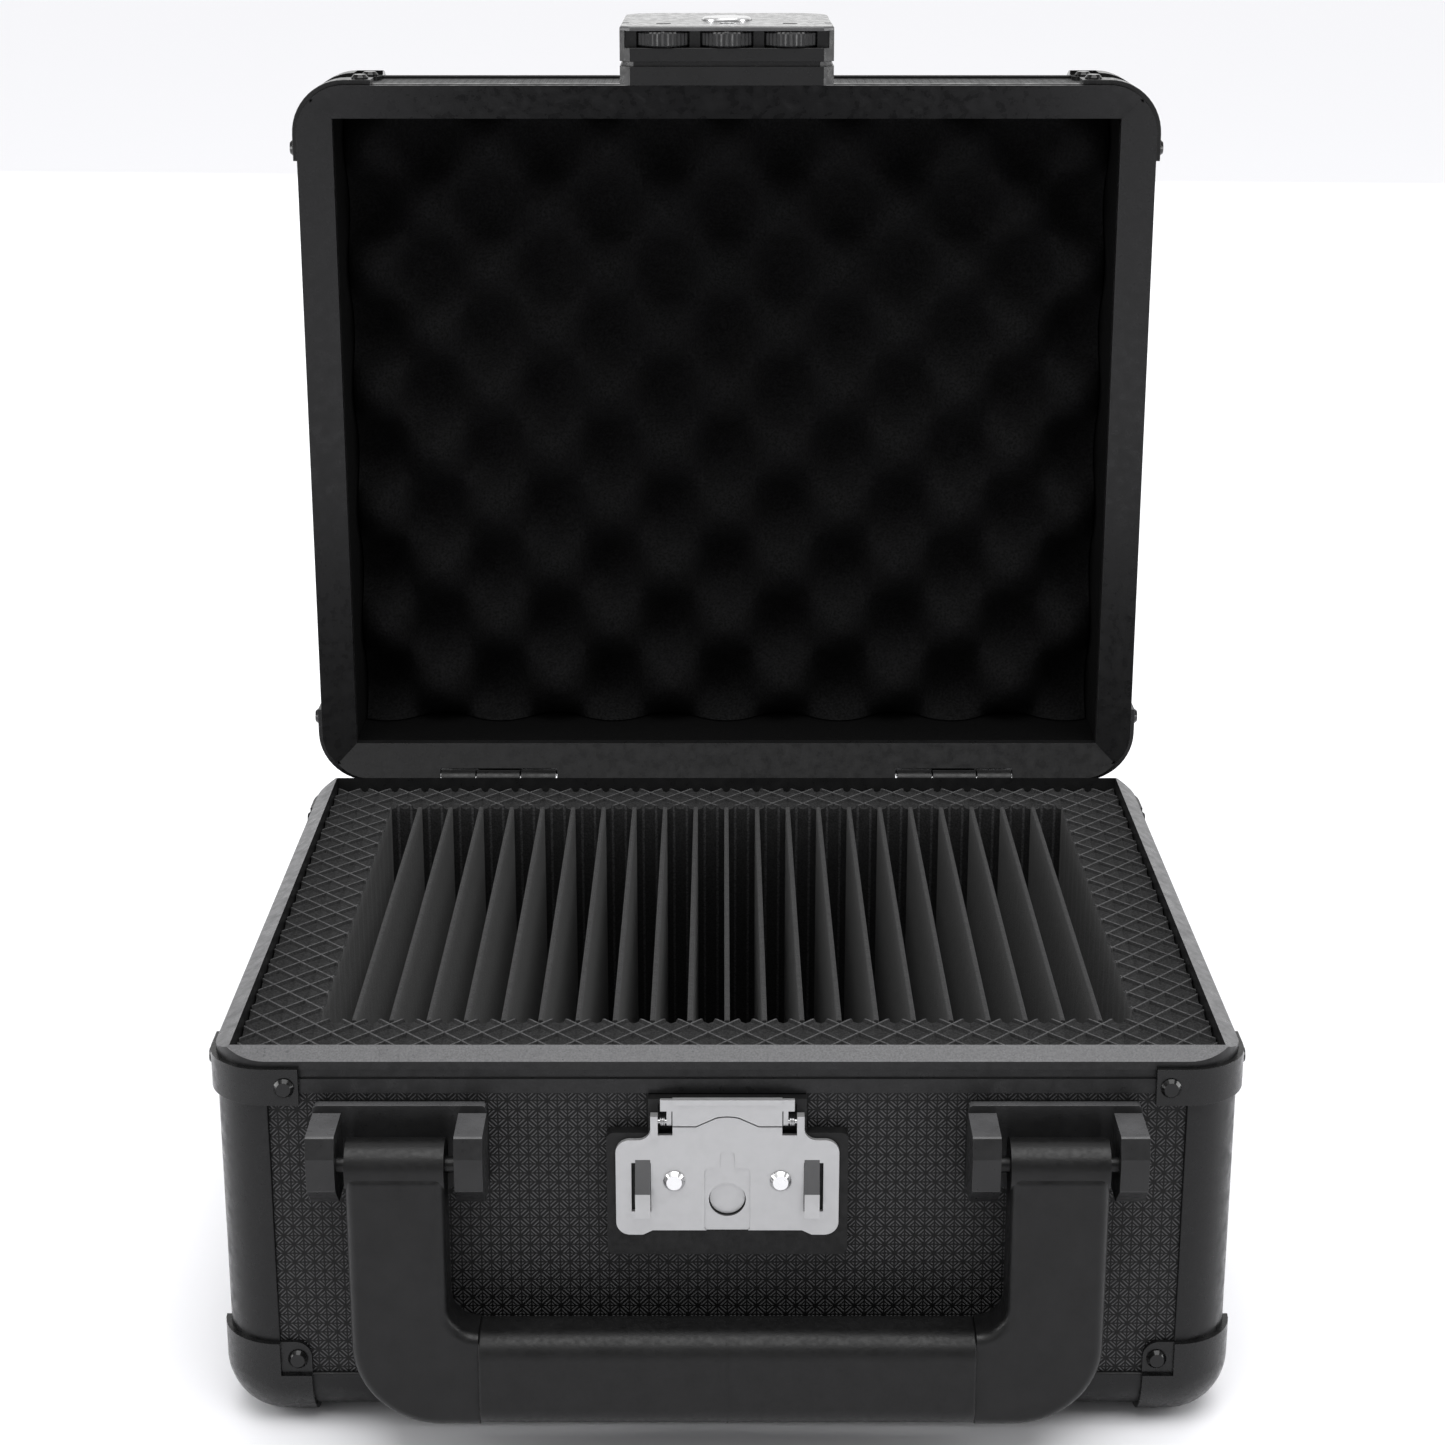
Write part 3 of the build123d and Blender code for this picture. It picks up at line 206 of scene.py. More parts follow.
def embossed_panel(name, level, across, up):
    """Plastic skin pressed with diamonds, two broken rings inside each, one tile every 4.1 mm."""
    tile = 4.1 * MM
    ring_at = 0.37  # the outer ring, from a diamond's centre, as a share of a tile
    ring_pitch = 0.21
    s = Shader(name, grey(level), 0.4, specular=0.25)
    axes = s.axes()

    def centred(value):
        """0 in the middle of each tile and 0.5 on its edges."""
        return s.math("ABSOLUTE", s.math("SUBTRACT", s.math("FRACT", s.math("ADD", value, 500.0)), 0.5))

    a = centred(s.math("DIVIDE", axes[across], tile))
    b = centred(s.math("DIVIDE", axes[up], tile))
    reach = s.math("ADD", a, b)
    reach = s.math("MINIMUM", reach, s.math("SUBTRACT", 1.0, reach))
    turns = s.math("DIVIDE", s.math("SUBTRACT", reach, ring_at), ring_pitch)
    rings = s.between(s.math("COSINE", s.math("MULTIPLY", turns, 2 * math.pi)), 0, 1, -0.35, 0.45)
    to_spoke = s.math("MINIMUM", s.math("MINIMUM", a, b), s.math("SUBTRACT", 0.5, s.math("MAXIMUM", a, b)))
    ridge = s.math("MULTIPLY", rings, s.between(to_spoke, 0, 1, 0.02, 0.06))
    s.rough(s.between(ridge, 0.55, 0.34, 0.0, 1.0))
    # Painted shade in the grooves and a painted highlight on the raised rings: the base colour follows the
    # relief, from a tenth to eight times the skin's level.
    s.tint(ridge, grey(level * 0.1), grey(level * 8))
    s.bump(ridge, 0.1 * MM)
    return s.material


def foam(name, level, cell=0.45 * MM, sheen=0.12):
    """Matt open-cell foam: small pits and slightly uneven tone."""
    s = Shader(name, grey(level), 0.95, specular=0.08)
    pits = s.noise(cell, 2)
    s.tint(s.between(pits, 0, 1, 0.35, 0.65), grey(level * 0.55), grey(level * 1.5))
    s.bump(pits, 0.12 * MM)
    s.bump(s.noise(3 * MM, 3), 0.2 * MM)
    s.shader.inputs["Sheen Weight"].default_value = sheen
    s.shader.inputs["Sheen Roughness"].default_value = 0.6
    return s.material


def plain(name, level, roughness):
    """A smooth surface with a slightly uneven gloss."""
    s = Shader(name, grey(level), roughness)
    s.rough(s.between(s.noise(0.8 * MM, 3), roughness - 0.06, roughness + 0.08))
    return s.material


COAT = powder_coat("black_coated_metal", 0.006, 0.36)
CAP_COAT = powder_coat("corner_cap_coat", 0.005, 0.27)
RIVET_COAT = powder_coat("rivet_coat", 0.005, 0.12, relief=0.003 * MM)
FRAME_X = anodised("anodised_rail_across", 0.010, 0.34, "x")
FRAME_Z = anodised("anodised_section", 0.008, 0.32, "z")
PANEL_XZ = embossed_panel("embossed_front_and_rear", 0.008, 0, 2)
PANEL_YZ = embossed_panel("embossed_sides", 0.008, 1, 2)
PANEL_XY = embossed_panel("embossed_ends", 0.008, 0, 1)
FOAM = foam("insert_foam", 0.014)
# The ridges on top of the insert take a foam three times lighter than the rest: a painted highlight on the
# ridge tops.
RIDGE_FOAM_PAINTED_HIGHLIGHT = foam("insert_ridges_painted_highlight", 0.042)
EGG_FOAM = foam("egg_crate_foam", 0.0055, 0.6 * MM, sheen=0.0)
LINING = foam("lining_foam", 0.0015, sheen=0.0)
HANDLE = moulded("handle_plastic", 0.005, 0.36)
GRIP = moulded("grip_rubber", 0.005, 0.42, grain=0.45 * MM)
PAD = moulded("pad_plastic", 0.005, 0.5)
PLATE = satin_metal("satin_strike_plate", 0.44, 0.42, 0.7)
# A much darker copy of the plate's metal: painted shade for the tongues that dip into the plate's windows
# and for the wall round the disc.
PLATE_PAINTED_SHADE = satin_metal("strike_tongues_painted_shade", 0.09, 0.4, 0.7)
CHROME = satin_metal("bright_rivets", 0.72, 0.22)
BUTTON = satin_metal("bright_button", 0.75, 0.24, stretch=(1, 1, 1))
STEEL = satin_metal("plain_steel", 0.45, 0.3)
LOCK = powder_coat("lock_housing_coat", 0.006, 0.32, grain=0.25 * MM)
LOCK_FACE = powder_coat("lock_face_coat", 0.060, 0.16, grain=0.2 * MM, relief=0.003 * MM)
DIAL = plain("dial_plastic", 0.012, 0.4)
DIGIT = plain("dial_digits", 0.75, 0.5)
RIM = anodised("anodised_rim", 0.012, 0.34, "x")
# Lighter copies of the rim's anodising for the rims' sloping faces: a painted highlight, strong on the
# base and slight on the lid.
BASE_BEVEL_PAINTED_HIGHLIGHT = anodised("base_rim_bevel_painted_highlight", 0.100, 0.34, "x")
LID_BEVEL_PAINTED_HIGHLIGHT = anodised("lid_rim_bevel_painted_highlight", 0.014, 0.30, "x")
# The brackets' upward faces take a coat five times lighter than the rest: a painted highlight where light
# from above falls.
BRACKET_TOP_PAINTED_HIGHLIGHT = powder_coat("bracket_tops_painted_highlight", 0.060, 0.3)
BRACKET = powder_coat("bracket_coat", 0.012, 0.36, grain=0.5 * MM, relief=0.03 * MM)
FLOOR = plain("pale_floor", 0.86, 0.6)


# ---- shown copies of CAD nodes, with their edges eased ----
WELD = 0.002 * MM  # vertices nearer than this are joined
FLAT = math.radians(0.4)  # faces that meet at less than this are merged
EASED_ANGLE = math.radians(40)  # edges sharper than this are eased
GROWTH = 1.005  # a finished piece's area may be this many times its CAD node's
CORNER_SEGMENTS = 6


def finish_mesh(piece, smooth_angle=35):
    mesh = piece.data
    if "custom_normal" in mesh.attributes:
        mesh.attributes.remove(mesh.attributes["custom_normal"])
    mesh.shade_smooth()
    mesh.set_sharp_from_angle(angle=math.radians(smooth_angle))


def ease(piece, width, segments=2):
    bevel = piece.modifiers.new("eased_edges", "BEVEL")
    bevel.width = width
    bevel.segments = segments
    bevel.limit_method = "ANGLE"
    bevel.angle_limit = EASED_ANGLE
    bevel.harden_normals = True


def drawn_area(mesh):
    """The area of the triangles that are drawn."""
    mesh.calc_loop_triangles()
    return sum(triangle.area for triangle in mesh.loop_triangles)


def grown(piece, source):
    """Whether the finished piece draws more area than its CAD node, as where a face covers a hole."""
    graph = bpy.context.evaluated_depsgraph_get()
    finished = piece.evaluated_get(graph).to_mesh()
    return drawn_area(finished) > GROWTH * drawn_area(source.data)


def dressed(node, material, slot, width=0.25 * MM, segments=2, second=None, picks=None, merge=True):
    """A copy of a CAD node with eased edges, which stands for the node.
    Faces whose normal and centre `picks` accepts get the second material. Flat faces are merged first,
    except where the eased edges would then cover a hole."""
    source = frame["nodes"][node]
    mesh = source.data.copy()
    mesh.materials.clear()
    mesh.materials.append(material)
    shape = bmesh.new()
    shape.from_mesh(mesh)
    bmesh.ops.remove_doubles(shape, verts=shape.verts, dist=WELD)
    if merge:
        bmesh.ops.dissolve_limit(shape, angle_limit=FLAT, verts=shape.verts, edges=shape.edges)
    if second:
        mesh.materials.append(second)
        for face in shape.faces:
            face.material_index = int(picks(face.normal, face.calc_center_median()))
    shape.to_mesh(mesh)
    shape.free()
    piece = bpy.data.objects.new("shown_" + node, mesh)
    scene.collection.objects.link(piece)
    finish_mesh(piece)
    if width:
        ease(piece, width, segments)
    even = piece.modifiers.new("even_normals", "WEIGHTED_NORMAL")
    even.keep_sharp = True
    if merge and grown(piece, source):
        bpy.data.objects.remove(piece)
        return dressed(node, material, slot, width, segments, second, picks, merge=False)
    return settle(piece, source["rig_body"], slot, node)


def settle(piece, body, slot, *nodes):
    """Puts a piece on its body, and in place of the nodes it stands for."""
    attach(piece, body)
    if nodes:
        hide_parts(*nodes)
    return piece


def made(name, shape, *materials):
    """A new object from a bmesh."""
    mesh = bpy.data.meshes.new(name)
    shape.to_mesh(mesh)
    shape.free()
    for material in materials:
        mesh.materials.append(material)
    piece = bpy.data.objects.new(name, mesh)
    scene.collection.objects.link(piece)
    return piece


def box_shape(shape, low, high, corner=0.0):
    """Adds a box to a bmesh, with its upright edges rounded by `corner`."""
    size = Vector(high) - Vector(low)
    middle = (Vector(high) + Vector(low)) / 2
    place = Matrix.Translation(middle) @ Matrix.Diagonal((*size, 1))
    new = bmesh.ops.create_cube(shape, size=1, matrix=place)["verts"]
    if corner:
        edges = {e for v in new for e in v.link_edges}
        upright = [e for e in edges if abs(e.verts[0].co.z - e.verts[1].co.z) > size.z / 2]
        bmesh.ops.bevel(
            shape, geom=upright, offset=corner, segments=CORNER_SEGMENTS, affect="EDGES", profile=0.5
        )


# ---- the halves' shells ----
SHELL = {
    "corner_posts": (FRAME_Z, "frame_black", 0.3 * MM),
    "front_and_rear_rails": (FRAME_X, "frame_black", 0.3 * MM),
    "side_rails": (FRAME_Z, "frame_black", 0.3 * MM),
    "ball_corners": (CAP_COAT, "corner_black", 0.35 * MM),
    "rim_corners": (CAP_COAT, "corner_black", 0.35 * MM),
    "corner_rivets": (RIVET_COAT, "rivet_black", 0),
}
PANELS = {
    "base_bottom_panel": PANEL_XY,
    "base_front_panel": PANEL_XZ,
    "base_rear_panel": PANEL_XZ,
    "lid_top_panel": PANEL_XZ,
    "lid_front_panel": PANEL_XY,
    "lid_rear_panel": PANEL_XY,
}


def build_shell():
    for half in ("base", "lid"):
        for part, (material, slot, width) in SHELL.items():
            dressed(f"{half}_{part}", material, slot, width)
        for side in ("left", "right"):
            dressed(f"{half}_{side}_panel", PANEL_YZ, "panel_black", 0)
    for node, material in PANELS.items():
        dressed(node, material, "panel_black", 0)


SLOPE = 0.3  # a normal's part along an axis, from which a face counts as sloping that way
LEVEL = 0.99


def build_rims():
    """The rims' sloping faces take lighter copies of the rim's material than their outer bands, a painted
    highlight: up on the base, forward on the lid.
    """

    def slopes_up(normal, centre):
        return SLOPE < normal.z < LEVEL

    def slopes_forward(normal, centre):
        return normal.y < -SLOPE

    dressed("base_rim", RIM, "rim_black", 0.4 * MM, 3, BASE_BEVEL_PAINTED_HIGHLIGHT, slopes_up)
    dressed("lid_rim", RIM, "rim_black", 0.4 * MM, 3, LID_BEVEL_PAINTED_HIGHLIGHT, slopes_forward)


# ---- foam ----
SLOTS = 22
SLOT_PITCH = 7.9 * MM
SLOT_W = 6.8 * MM
SLOT_FLOOR = 22 * MM
SLOT_FRONT = CASE_Y - 65.6 * MM
SLOT_REAR = CASE_Y + 71.9 * MM
SLOTS_X = ((SLOTS - 1) * SLOT_PITCH + SLOT_W) / 2
CELL_X = 7.9 * MM  # the raised diamonds on top of the insert
CELL_Y = 8.6 * MM
RIDGE = 0.075  # half width of a ridge, as a share of a cell
CELL_DEPTH = 1.9 * MM
LIP_DEPTH = 0.05 * MM
WALL_DEPTH = 0.4 * CELL_DEPTH
CELL_WELD = 0.02 * MM
CUT = 1e-7  # how near a vertex has to be to a cutting plane to lie on it
TRAY = 8 * MM  # thickness of the foam under the slots, and its step in to the foot below
TRAY_CORNER = 7.7 * MM
WALL_DROP = 0.4 * MM  # the walls between the slots end this far below the top


def diamond_cell(shape, x, y, top):
    """One sunk diamond between four raised ridges, on a lattice that its neighbours share."""

    def ring(share, depth):
        reach = ((share, 0), (0, share), (-share, 0), (0, -share))
        return [shape.verts.new((x + u * CELL_X / 2, y + v * CELL_Y / 2, top - depth)) for u, v in reach]

    crest = ring(1, 0)
    lip = ring(1 - RIDGE, LIP_DEPTH)
    wall = ring(1 - 2 * RIDGE, WALL_DEPTH)
    pit = shape.verts.new((x, y, top - CELL_DEPTH))
    # The ridges' faces take the second material, which paints a highlight on them.
    for outer, inner, material in ((crest, lip, 1), (lip, wall, 0)):
        for i in range(4):
            j = (i + 1) % 4
            shape.faces.new((outer[i], outer[j], inner[j], inner[i])).material_index = material
    for i in range(4):
        shape.faces.new((wall[i], wall[(i + 1) % 4], pit))


def drawn_out(shape, edges):
    """Extrudes the edges where they stand, and gives the new vertices."""
    made_here = bmesh.ops.extrude_edge_only(shape, edges=edges)["geom"]
    return [g for g in made_here if isinstance(g, bmesh.types.BMVert)]


def lattice_strip(low, high, top, floor):
    """The insert's embossed top between two corners, with its cut sides down to `floor`."""
    shape = bmesh.new()
    for row in range(math.floor(2 * low.y / CELL_Y), math.ceil(2 * high.y / CELL_Y) + 1):
        first = math.floor(low.x / CELL_X) - 1
        for column in range(first, math.ceil(high.x / CELL_X) + 2):
            diamond_cell(shape, (column + 0.5 * (row % 2)) * CELL_X, row * CELL_Y / 2, top)
    bmesh.ops.remove_doubles(shape, verts=shape.verts, dist=CELL_WELD)
    for corner, sign in ((low, -1), (high, 1)):
        for axis in ((sign, 0, 0), (0, sign, 0)):
            everything = shape.verts[:] + shape.edges[:] + shape.faces[:]
            bmesh.ops.bisect_plane(
                shape, geom=everything, dist=CUT, plane_co=(*corner, 0), plane_no=axis, clear_outer=True
            )
    rim = [e for e in shape.edges if e.is_boundary]
    for v in drawn_out(shape, rim):
        v.co.z = floor
    return shape


def build_insert():
    low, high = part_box("slotted_foam_insert")
    shape = bmesh.new()
    box_shape(shape, (low.x, low.y, SLOT_FLOOR - TRAY), (high.x, high.y, SLOT_FLOOR), TRAY_CORNER)
    inset = Vector((TRAY, TRAY, 0))
    box_shape(shape, low + inset, Vector((high.x, high.y, SLOT_FLOOR - TRAY)) - inset)
    for i in range(SLOTS - 1):
        x = (i - (SLOTS - 2) / 2) * SLOT_PITCH
        half = (SLOT_PITCH - SLOT_W) / 2
        box_shape(shape, (x - half, SLOT_FRONT, SLOT_FLOOR), (x + half, SLOT_REAR, high.z - WALL_DROP))
    walls = made("insert_walls", shape, FOAM)
    settle(walls, "base", "foam_black", "slotted_foam_insert")
    finish_mesh(walls)
    ease(walls, 0.3 * MM)
    strips = {
        "front": ((low.x, low.y), (high.x, SLOT_FRONT)),
        "rear": ((low.x, SLOT_REAR), (high.x, high.y)),
        "left": ((low.x, SLOT_FRONT), (-SLOTS_X, SLOT_REAR)),
        "right": ((SLOTS_X, SLOT_FRONT), (high.x, SLOT_REAR)),
    }
    for side, (near, far) in strips.items():
        shape = lattice_strip(Vector(near), Vector(far), high.z, SLOT_FLOOR)
        strip = made(f"insert_top_{side}", shape, FOAM, RIDGE_FOAM_PAINTED_HIGHLIGHT)
        settle(strip, "base", "foam_black")
        finish_mesh(strip, smooth_angle=20)


EGG_X = 15.3 * MM  # from a crest of the convoluted foam to the next hollow
EGG_Z = 15.9 * MM
EGG_MIDDLE = 152 * MM  # height of one row of hollows in the open lid
EGG_RELIEF = 14.0 * MM
EGG_STEP = 1.3 * MM
EGG_FULLNESS = 0.85  # below 1, the crests and hollows are rounder
EGG_BACK = 1 * MM  # the foam ends this far short of the lid's board


def egg_height(x, z):
    """0 on a crest, 1 in a hollow."""
    wave = -math.cos(math.pi * x / EGG_X) * math.cos(math.pi * (z - EGG_MIDDLE) / EGG_Z)
    return 0.5 + 0.5 * math.copysign(abs(wave) ** EGG_FULLNESS, wave)


def build_egg_foam():
    low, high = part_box("lid_egg_crate_foam")
    columns = round((high.x - low.x) / EGG_STEP)
    rows = round((high.z - low.z) / EGG_STEP)
    shape = bmesh.new()
    grid = []
    for j in range(rows + 1):
        z = low.z + (high.z - low.z) * j / rows
        line = []
        for i in range(columns + 1):
            x = low.x + (high.x - low.x) * i / columns
            line.append(shape.verts.new((x, low.y + EGG_RELIEF * egg_height(x, z), z)))
        grid.append(line)
    for j in range(rows):
        for i in range(columns):
            shape.faces.new((grid[j][i], grid[j][i + 1], grid[j + 1][i + 1], grid[j + 1][i]))
    rim = [e for e in shape.edges if e.is_boundary]
    for v in drawn_out(shape, rim):
        v.co.y = high.y - EGG_BACK
    bmesh.ops.contextual_create(shape, geom=[e for e in shape.edges if e.is_boundary])
    bmesh.ops.recalc_face_normals(shape, faces=shape.faces)
    piece = made("egg_crate_foam", shape, EGG_FOAM)
    settle(piece, "lid", "foam_black", "lid_egg_crate_foam")
    finish_mesh(piece, smooth_angle=60)


def build_lining():
    piece = dressed("lid_side_lining", LINING, "lining_black", 0.6 * MM, 3)


# ---- hinges, handle and strike ----
HARDWARE = {
    "hinge_base_leaf_left": (COAT, "hinge_black", 0.2 * MM),
    "hinge_base_leaf_right": (COAT, "hinge_black", 0.2 * MM),
    "hinge_lid_leaf_left": (COAT, "hinge_black", 0.2 * MM),
    "hinge_lid_leaf_right": (COAT, "hinge_black", 0.2 * MM),
    "hinge_base_rivets": (RIVET_COAT, "hinge_black", 0),
    "hinge_lid_rivets": (RIVET_COAT, "hinge_black", 0),
    "hinge_pins": (STEEL, "steel_pins", 0.15 * MM),
    "handle_pins": (COAT, "steel_pins", 0.15 * MM),
    "strike_pad": (PAD, "pad_black", 0.25 * MM),
    "strike_flap": (PLATE, "satin_plate", 0.08 * MM),
    "strike_rivets": (CHROME, "steel_pins", 0),
    "strike_screw": (PLATE, "steel_pins", 0.2 * MM),
    "flap_pins": (STEEL, "steel_pins", 0),
    "lock_hinge_leaf": (COAT, "hinge_black", 0.15 * MM),
    "lock_leaf_rivets": (CHROME, "steel_pins", 0),
    "lock_hinge_pin": (STEEL, "steel_pins", 0.15 * MM),
    "lock_back_shell": (LOCK, "lock_black", 0.35 * MM),
    "lock_housing": (LOCK, "lock_black", 0.25 * MM),
    "lock_face_plate": (LOCK_FACE, "lock_face", 0.12 * MM),
    "dial_posts": (STEEL, "steel_pins", 0.1 * MM),
    "lock_button": (BUTTON, "button_chrome", 0.1 * MM),
    "lock_bolt": (STEEL, "steel_pins", 0.15 * MM),
    "handle_frame": (HANDLE, "handle_plastic", 0),
    "handle_grip": (GRIP, "handle_plastic", 0.5 * MM),
}


FACES_UP = 0.7
TONGUES_FROM = 0.63  # the hooks' tongues lie outside this share of the plate's half width
TONGUE_SUNK = 1.2 * MM  # and dip this far into the plate's windows
TONGUE_SLOPE = 0.15
WELL_GAP = 0.3 * MM  # round the disc
WELL_WALL = 0.5


def build_hardware():
    for node, (material, slot, width) in HARDWARE.items():
        dressed(node, material, slot, width)

    def faces_up(normal, centre):
        return normal.z > FACES_UP

    for side in ("left", "right"):
        # Upward faces of the brackets get the lighter coat, a painted highlight.
        dressed("handle_bracket_" + side, BRACKET, "bracket_black", 0.35 * MM, 2, BRACKET_TOP_PAINTED_HIGHLIGHT, faces_up)
    low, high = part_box("strike_plate")
    tongues = TONGUES_FROM * high.x
    disc_low, disc_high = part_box("strike_screw")
    well = (disc_high - disc_low).x / 2 + WELL_GAP
    disc = (disc_low + disc_high) / 2

    # Painted shade: the tongues' upper faces and the well's wall round the disc get the darker copy of the
    # plate's metal.
    def in_shade(normal, centre):
        on_tongue = abs(centre.x) > tongues and normal.z > TONGUE_SLOPE and centre.y < high.y - TONGUE_SUNK
        in_well = math.hypot(centre.x - disc.x, centre.z - disc.z) < well and abs(normal.y) < WELL_WALL
        return on_tongue or in_well

    dressed("strike_plate", PLATE, "satin_plate", 0.08 * MM, 2, PLATE_PAINTED_SHADE, in_shade)


def tube_along(name, points, radius, material):
    """A wire of round section through the given points."""
    curve = bpy.data.curves.new(name, "CURVE")
    curve.dimensions = "3D"
    curve.bevel_depth = radius
    curve.bevel_resolution = 2
    curve.use_fill_caps = True
    spline = curve.splines.new("POLY")
    spline.points.add(len(points) - 1)
    for point, place in zip(spline.points, points):
        point.co = (*place, 1)
    curve.materials.append(material)
    wire = bpy.data.objects.new(name, curve)
    scene.collection.objects.link(wire)
    graph = bpy.context.evaluated_depsgraph_get()
    mesh = bpy.data.meshes.new_from_object(wire.evaluated_get(graph))
    bpy.data.objects.remove(wire)
    piece = bpy.data.objects.new(name, mesh)
    scene.collection.objects.link(piece)
    mesh.shade_smooth()
    return piece


COIL_TURNS = 3
COIL_STEPS = 14  # points in a turn


def coil(centre, axis, radius, length):
    """Points of a helix along the x axis or the z axis."""
    count = COIL_TURNS * COIL_STEPS
    points = []
    for i in range(count + 1):
        turn = 2 * math.pi * i / COIL_STEPS
        along = length * (i / count - 0.5)
        around = (radius * math.cos(turn), radius * math.sin(turn))
        spot = (along, *around) if axis == "x" else (*around, along)
        points.append(Vector(centre) + Vector(spot))
    return points


def build_springs():
    low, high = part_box("flap_springs")
    middle = (low + high) / 2
    wire = 0.17 * MM
    length = 1.0 * MM
    from_end = 0.6 * MM
    for side, sign in (("left", -1), ("right", 1)):
        centre = (sign * (high.x - from_end), middle.y, middle.z)
        points = coil(centre, "x", (high.z - low.z) / 2 - wire, length)
        spring = tube_along(f"flap_spring_{side}", points, wire, STEEL)
        settle(spring, "base", "steel_pins", "flap_springs")
    low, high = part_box("button_spring")
    middle = (low + high) / 2
    wire = 0.25 * MM
    points = coil(middle, "z", (high.x - low.x) / 2 - wire, high.z - low.z - 2 * wire)
    spring = tube_along("button_return_spring", points, wire, STEEL)
    settle(spring, "lock", "steel_pins", "button_spring")
    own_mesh(spring)


# ---- dials ----
RIDGES = 40
DIGITS = 10
DIGIT_SIZE = 2.3 * MM
DIGIT_AT = 5.0 * MM  # from a dial's centre
DIGIT_PROUD = 0.02 * MM
DIGIT_GAP = 0.01 * MM


def knurled_disc(centre, radius, low, high):
    """A disc whose edge is cut into upright ridges, with both rims bevelled."""
    shape = bmesh.new()
    bevel = 0.35 * MM
    deep = 0.3 * MM
    levels = ((low, bevel), (low + bevel, 0), (high - bevel, 0), (high, bevel))
    rings = []
    for z, inset in levels:
        ring = []
        for i in range(2 * RIDGES):
            angle = math.pi * i / RIDGES
            reach = radius - inset - (deep if i % 2 else 0)
            around = Vector((reach * math.cos(angle), reach * math.sin(angle)))
            ring.append(shape.verts.new((centre.x + around.x, centre.y + around.y, z)))
        rings.append(ring)
    for lower, upper in zip(rings, rings[1:]):
        for i in range(2 * RIDGES):
            j = (i + 1) % (2 * RIDGES)
            shape.faces.new((lower[i], lower[j], upper[j], upper[i]))
    shape.faces.new(rings[0][::-1])
    shape.faces.new(rings[-1])
    return shape


def digit_mesh(text, size):
    curve = bpy.data.curves.new("digit_" + text, "FONT")
    curve.body = text
    curve.size = size
    curve.align_x = "CENTER"
    curve.align_y = "CENTER"
    curve.extrude = DIGIT_PROUD
    curve.materials.append(DIGIT)
    letter = bpy.data.objects.new(curve.name, curve)
    scene.collection.objects.link(letter)
    graph = bpy.context.evaluated_depsgraph_get()
    mesh = bpy.data.meshes.new_from_object(letter.evaluated_get(graph))
    bpy.data.objects.remove(letter)
    return mesh


def build_dials():
    faces = [digit_mesh(str(i), DIGIT_SIZE) for i in range(DIGITS)]
    for word in ("left", "middle", "right"):
        node = "dial_" + word
        low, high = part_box(node)
        centre = (low + high) / 2
        radius = (high.x - low.x) / 2
        disc = made("knurled_" + node, knurled_disc(centre, radius, low.z, high.z), DIAL)
        finish_mesh(disc, smooth_angle=30)
        settle(disc, node, "dial_black", node)
        shown = random.randrange(DIGITS)
        shape = bmesh.new()
        for i, face in enumerate(faces):
            angle = 2 * math.pi * (i - shown) / DIGITS
            turn = Matrix.Rotation(angle, 4, "Z")
            spot = turn @ Matrix.Translation((0, DIGIT_AT, 0))
            place = Matrix.Translation((centre.x, centre.y, high.z + DIGIT_GAP)) @ spot
            copy = face.copy()
            copy.transform(place)
            shape.from_mesh(copy)
            bpy.data.meshes.remove(copy)
        digits = made(f"digits_{word}", shape, DIGIT)
        settle(digits, node, "dial_black")


def build_grip_seam():
    """The moulding line round the middle of the grip."""
    low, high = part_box("handle_grip")
    proud = 0.1 * MM
    half = 0.2 * MM
    corner = 5 * MM
    shape = bmesh.new()
    start = Vector((-half, low.y - proud, low.z - proud))
    end = Vector((half, high.y + proud, high.z + proud))
    size = end - start
    middle = (start + end) / 2
    bmesh.ops.create_cube(shape, size=1, matrix=Matrix.Translation(middle) @ Matrix.Diagonal((*size, 1)))
    across = [e for e in shape.edges if abs(e.verts[0].co.x - e.verts[1].co.x) > size.x / 2]
    bmesh.ops.bevel(shape, geom=across, offset=corner, segments=10, affect="EDGES", profile=0.5)
    seam = made("grip_seam", shape, GRIP)
    finish_mesh(seam)
    settle(seam, "handle", "handle_plastic")


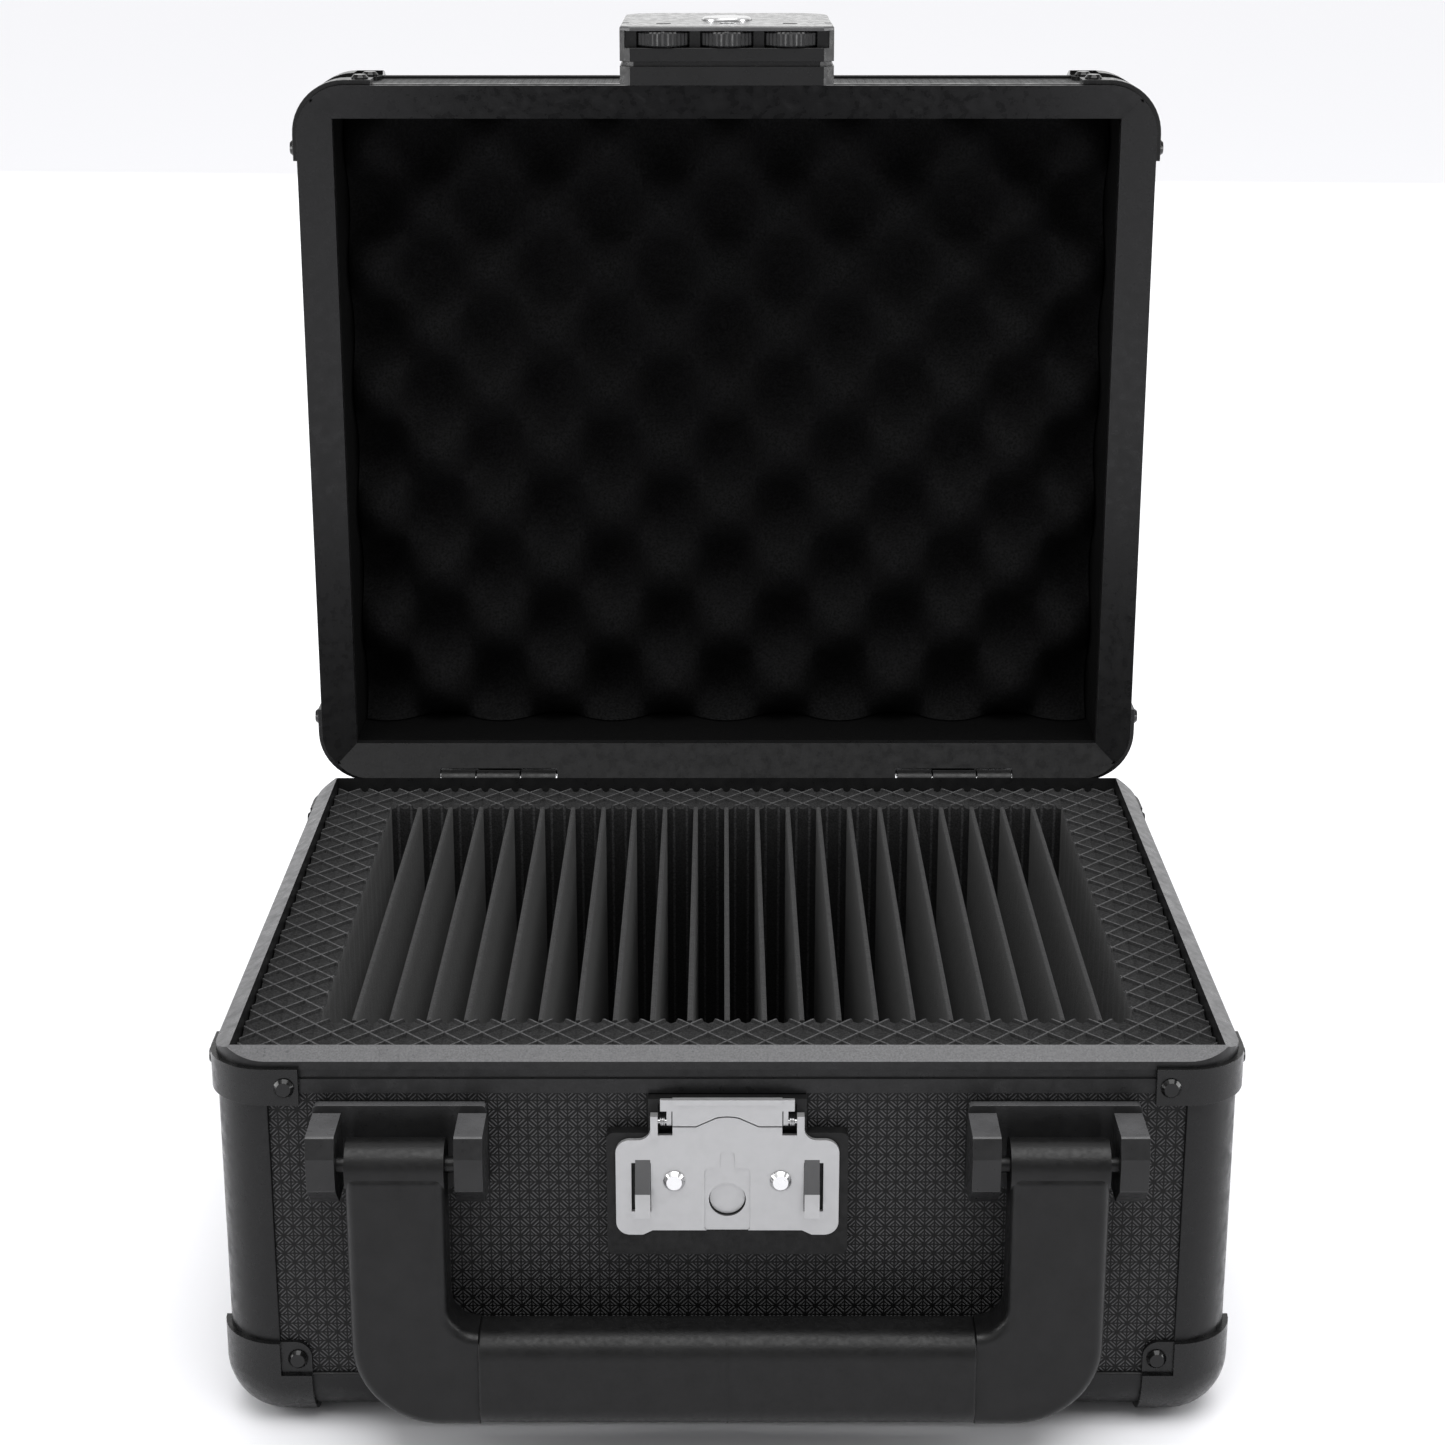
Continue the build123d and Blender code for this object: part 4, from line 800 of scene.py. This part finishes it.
# ---- stage ----
CAMERA_AT = (-1.0, -620.8, 324.9)  # from the middle of the case's footprint
CAMERA_PITCH = 17.51
CAMERA_LENS = 70.84
SENSOR_WIDTH = 36
WORLD_LIGHT = 0.4
FLOOR_SIZE = 150  # far enough that its edge stays out of every view


def build_stage():
    floor_shape = bmesh.new()
    bmesh.ops.create_grid(floor_shape, x_segments=1, y_segments=1, size=FLOOR_SIZE)
    floor = made("floor", floor_shape, FLOOR)

    def light(name, kind, energy, place, aim, size=1.0, size_y=None):
        data = bpy.data.lights.new(name, kind)
        data.energy = energy
        if kind == "AREA":
            data.shape = "RECTANGLE"
            data.size = size
            data.size_y = size_y or size
        else:
            data.angle = size
        lamp = bpy.data.objects.new(name, data)
        lamp.location = place
        lamp.rotation_euler = (Vector(aim) - Vector(place)).to_track_quat("-Z", "Y").to_euler()
        scene.collection.objects.link(lamp)

    light("overhead", "SUN", 2.5, (0.2, -0.5, 2), (0, 0, 0), math.radians(50))
    light("key", "AREA", 6, (-0.9, -1.3, 1.4), (0, 0, 0.12), 1.6)
    light("left_strip", "AREA", 9, (-1.3, -0.1, 0.4), (0, 0, 0.08), 0.4, 1.0)
    light("right_strip", "AREA", 9, (1.3, -0.1, 0.4), (0, 0, 0.08), 0.4, 1.0)
    light("rear", "AREA", 14, (0.1, 1.4, 1.1), (0, 0, 0.15), 2.6)

    world = bpy.data.worlds.new("studio")
    world.use_nodes = True
    world.node_tree.nodes["Background"].inputs["Color"].default_value = (1, 1, 1, 1)
    world.node_tree.nodes["Background"].inputs["Strength"].default_value = WORLD_LIGHT
    scene.world = world
    scene.view_settings.view_transform = "Standard"

    camera = bpy.data.cameras.new("camera")
    camera.sensor_width = SENSOR_WIDTH
    camera.lens = CAMERA_LENS
    eye = bpy.data.objects.new("camera", camera)
    eye.location = Vector(CAMERA_AT) * MM + Vector((0, CASE_Y, 0))
    eye.rotation_euler = (math.radians(90 - CAMERA_PITCH), 0, 0)
    scene.collection.objects.link(eye)
    scene.camera = eye


build_shell()
build_rims()
build_insert()
build_egg_foam()
build_lining()
build_hardware()
build_springs()
build_dials()
build_grip_seam()
build_stage()
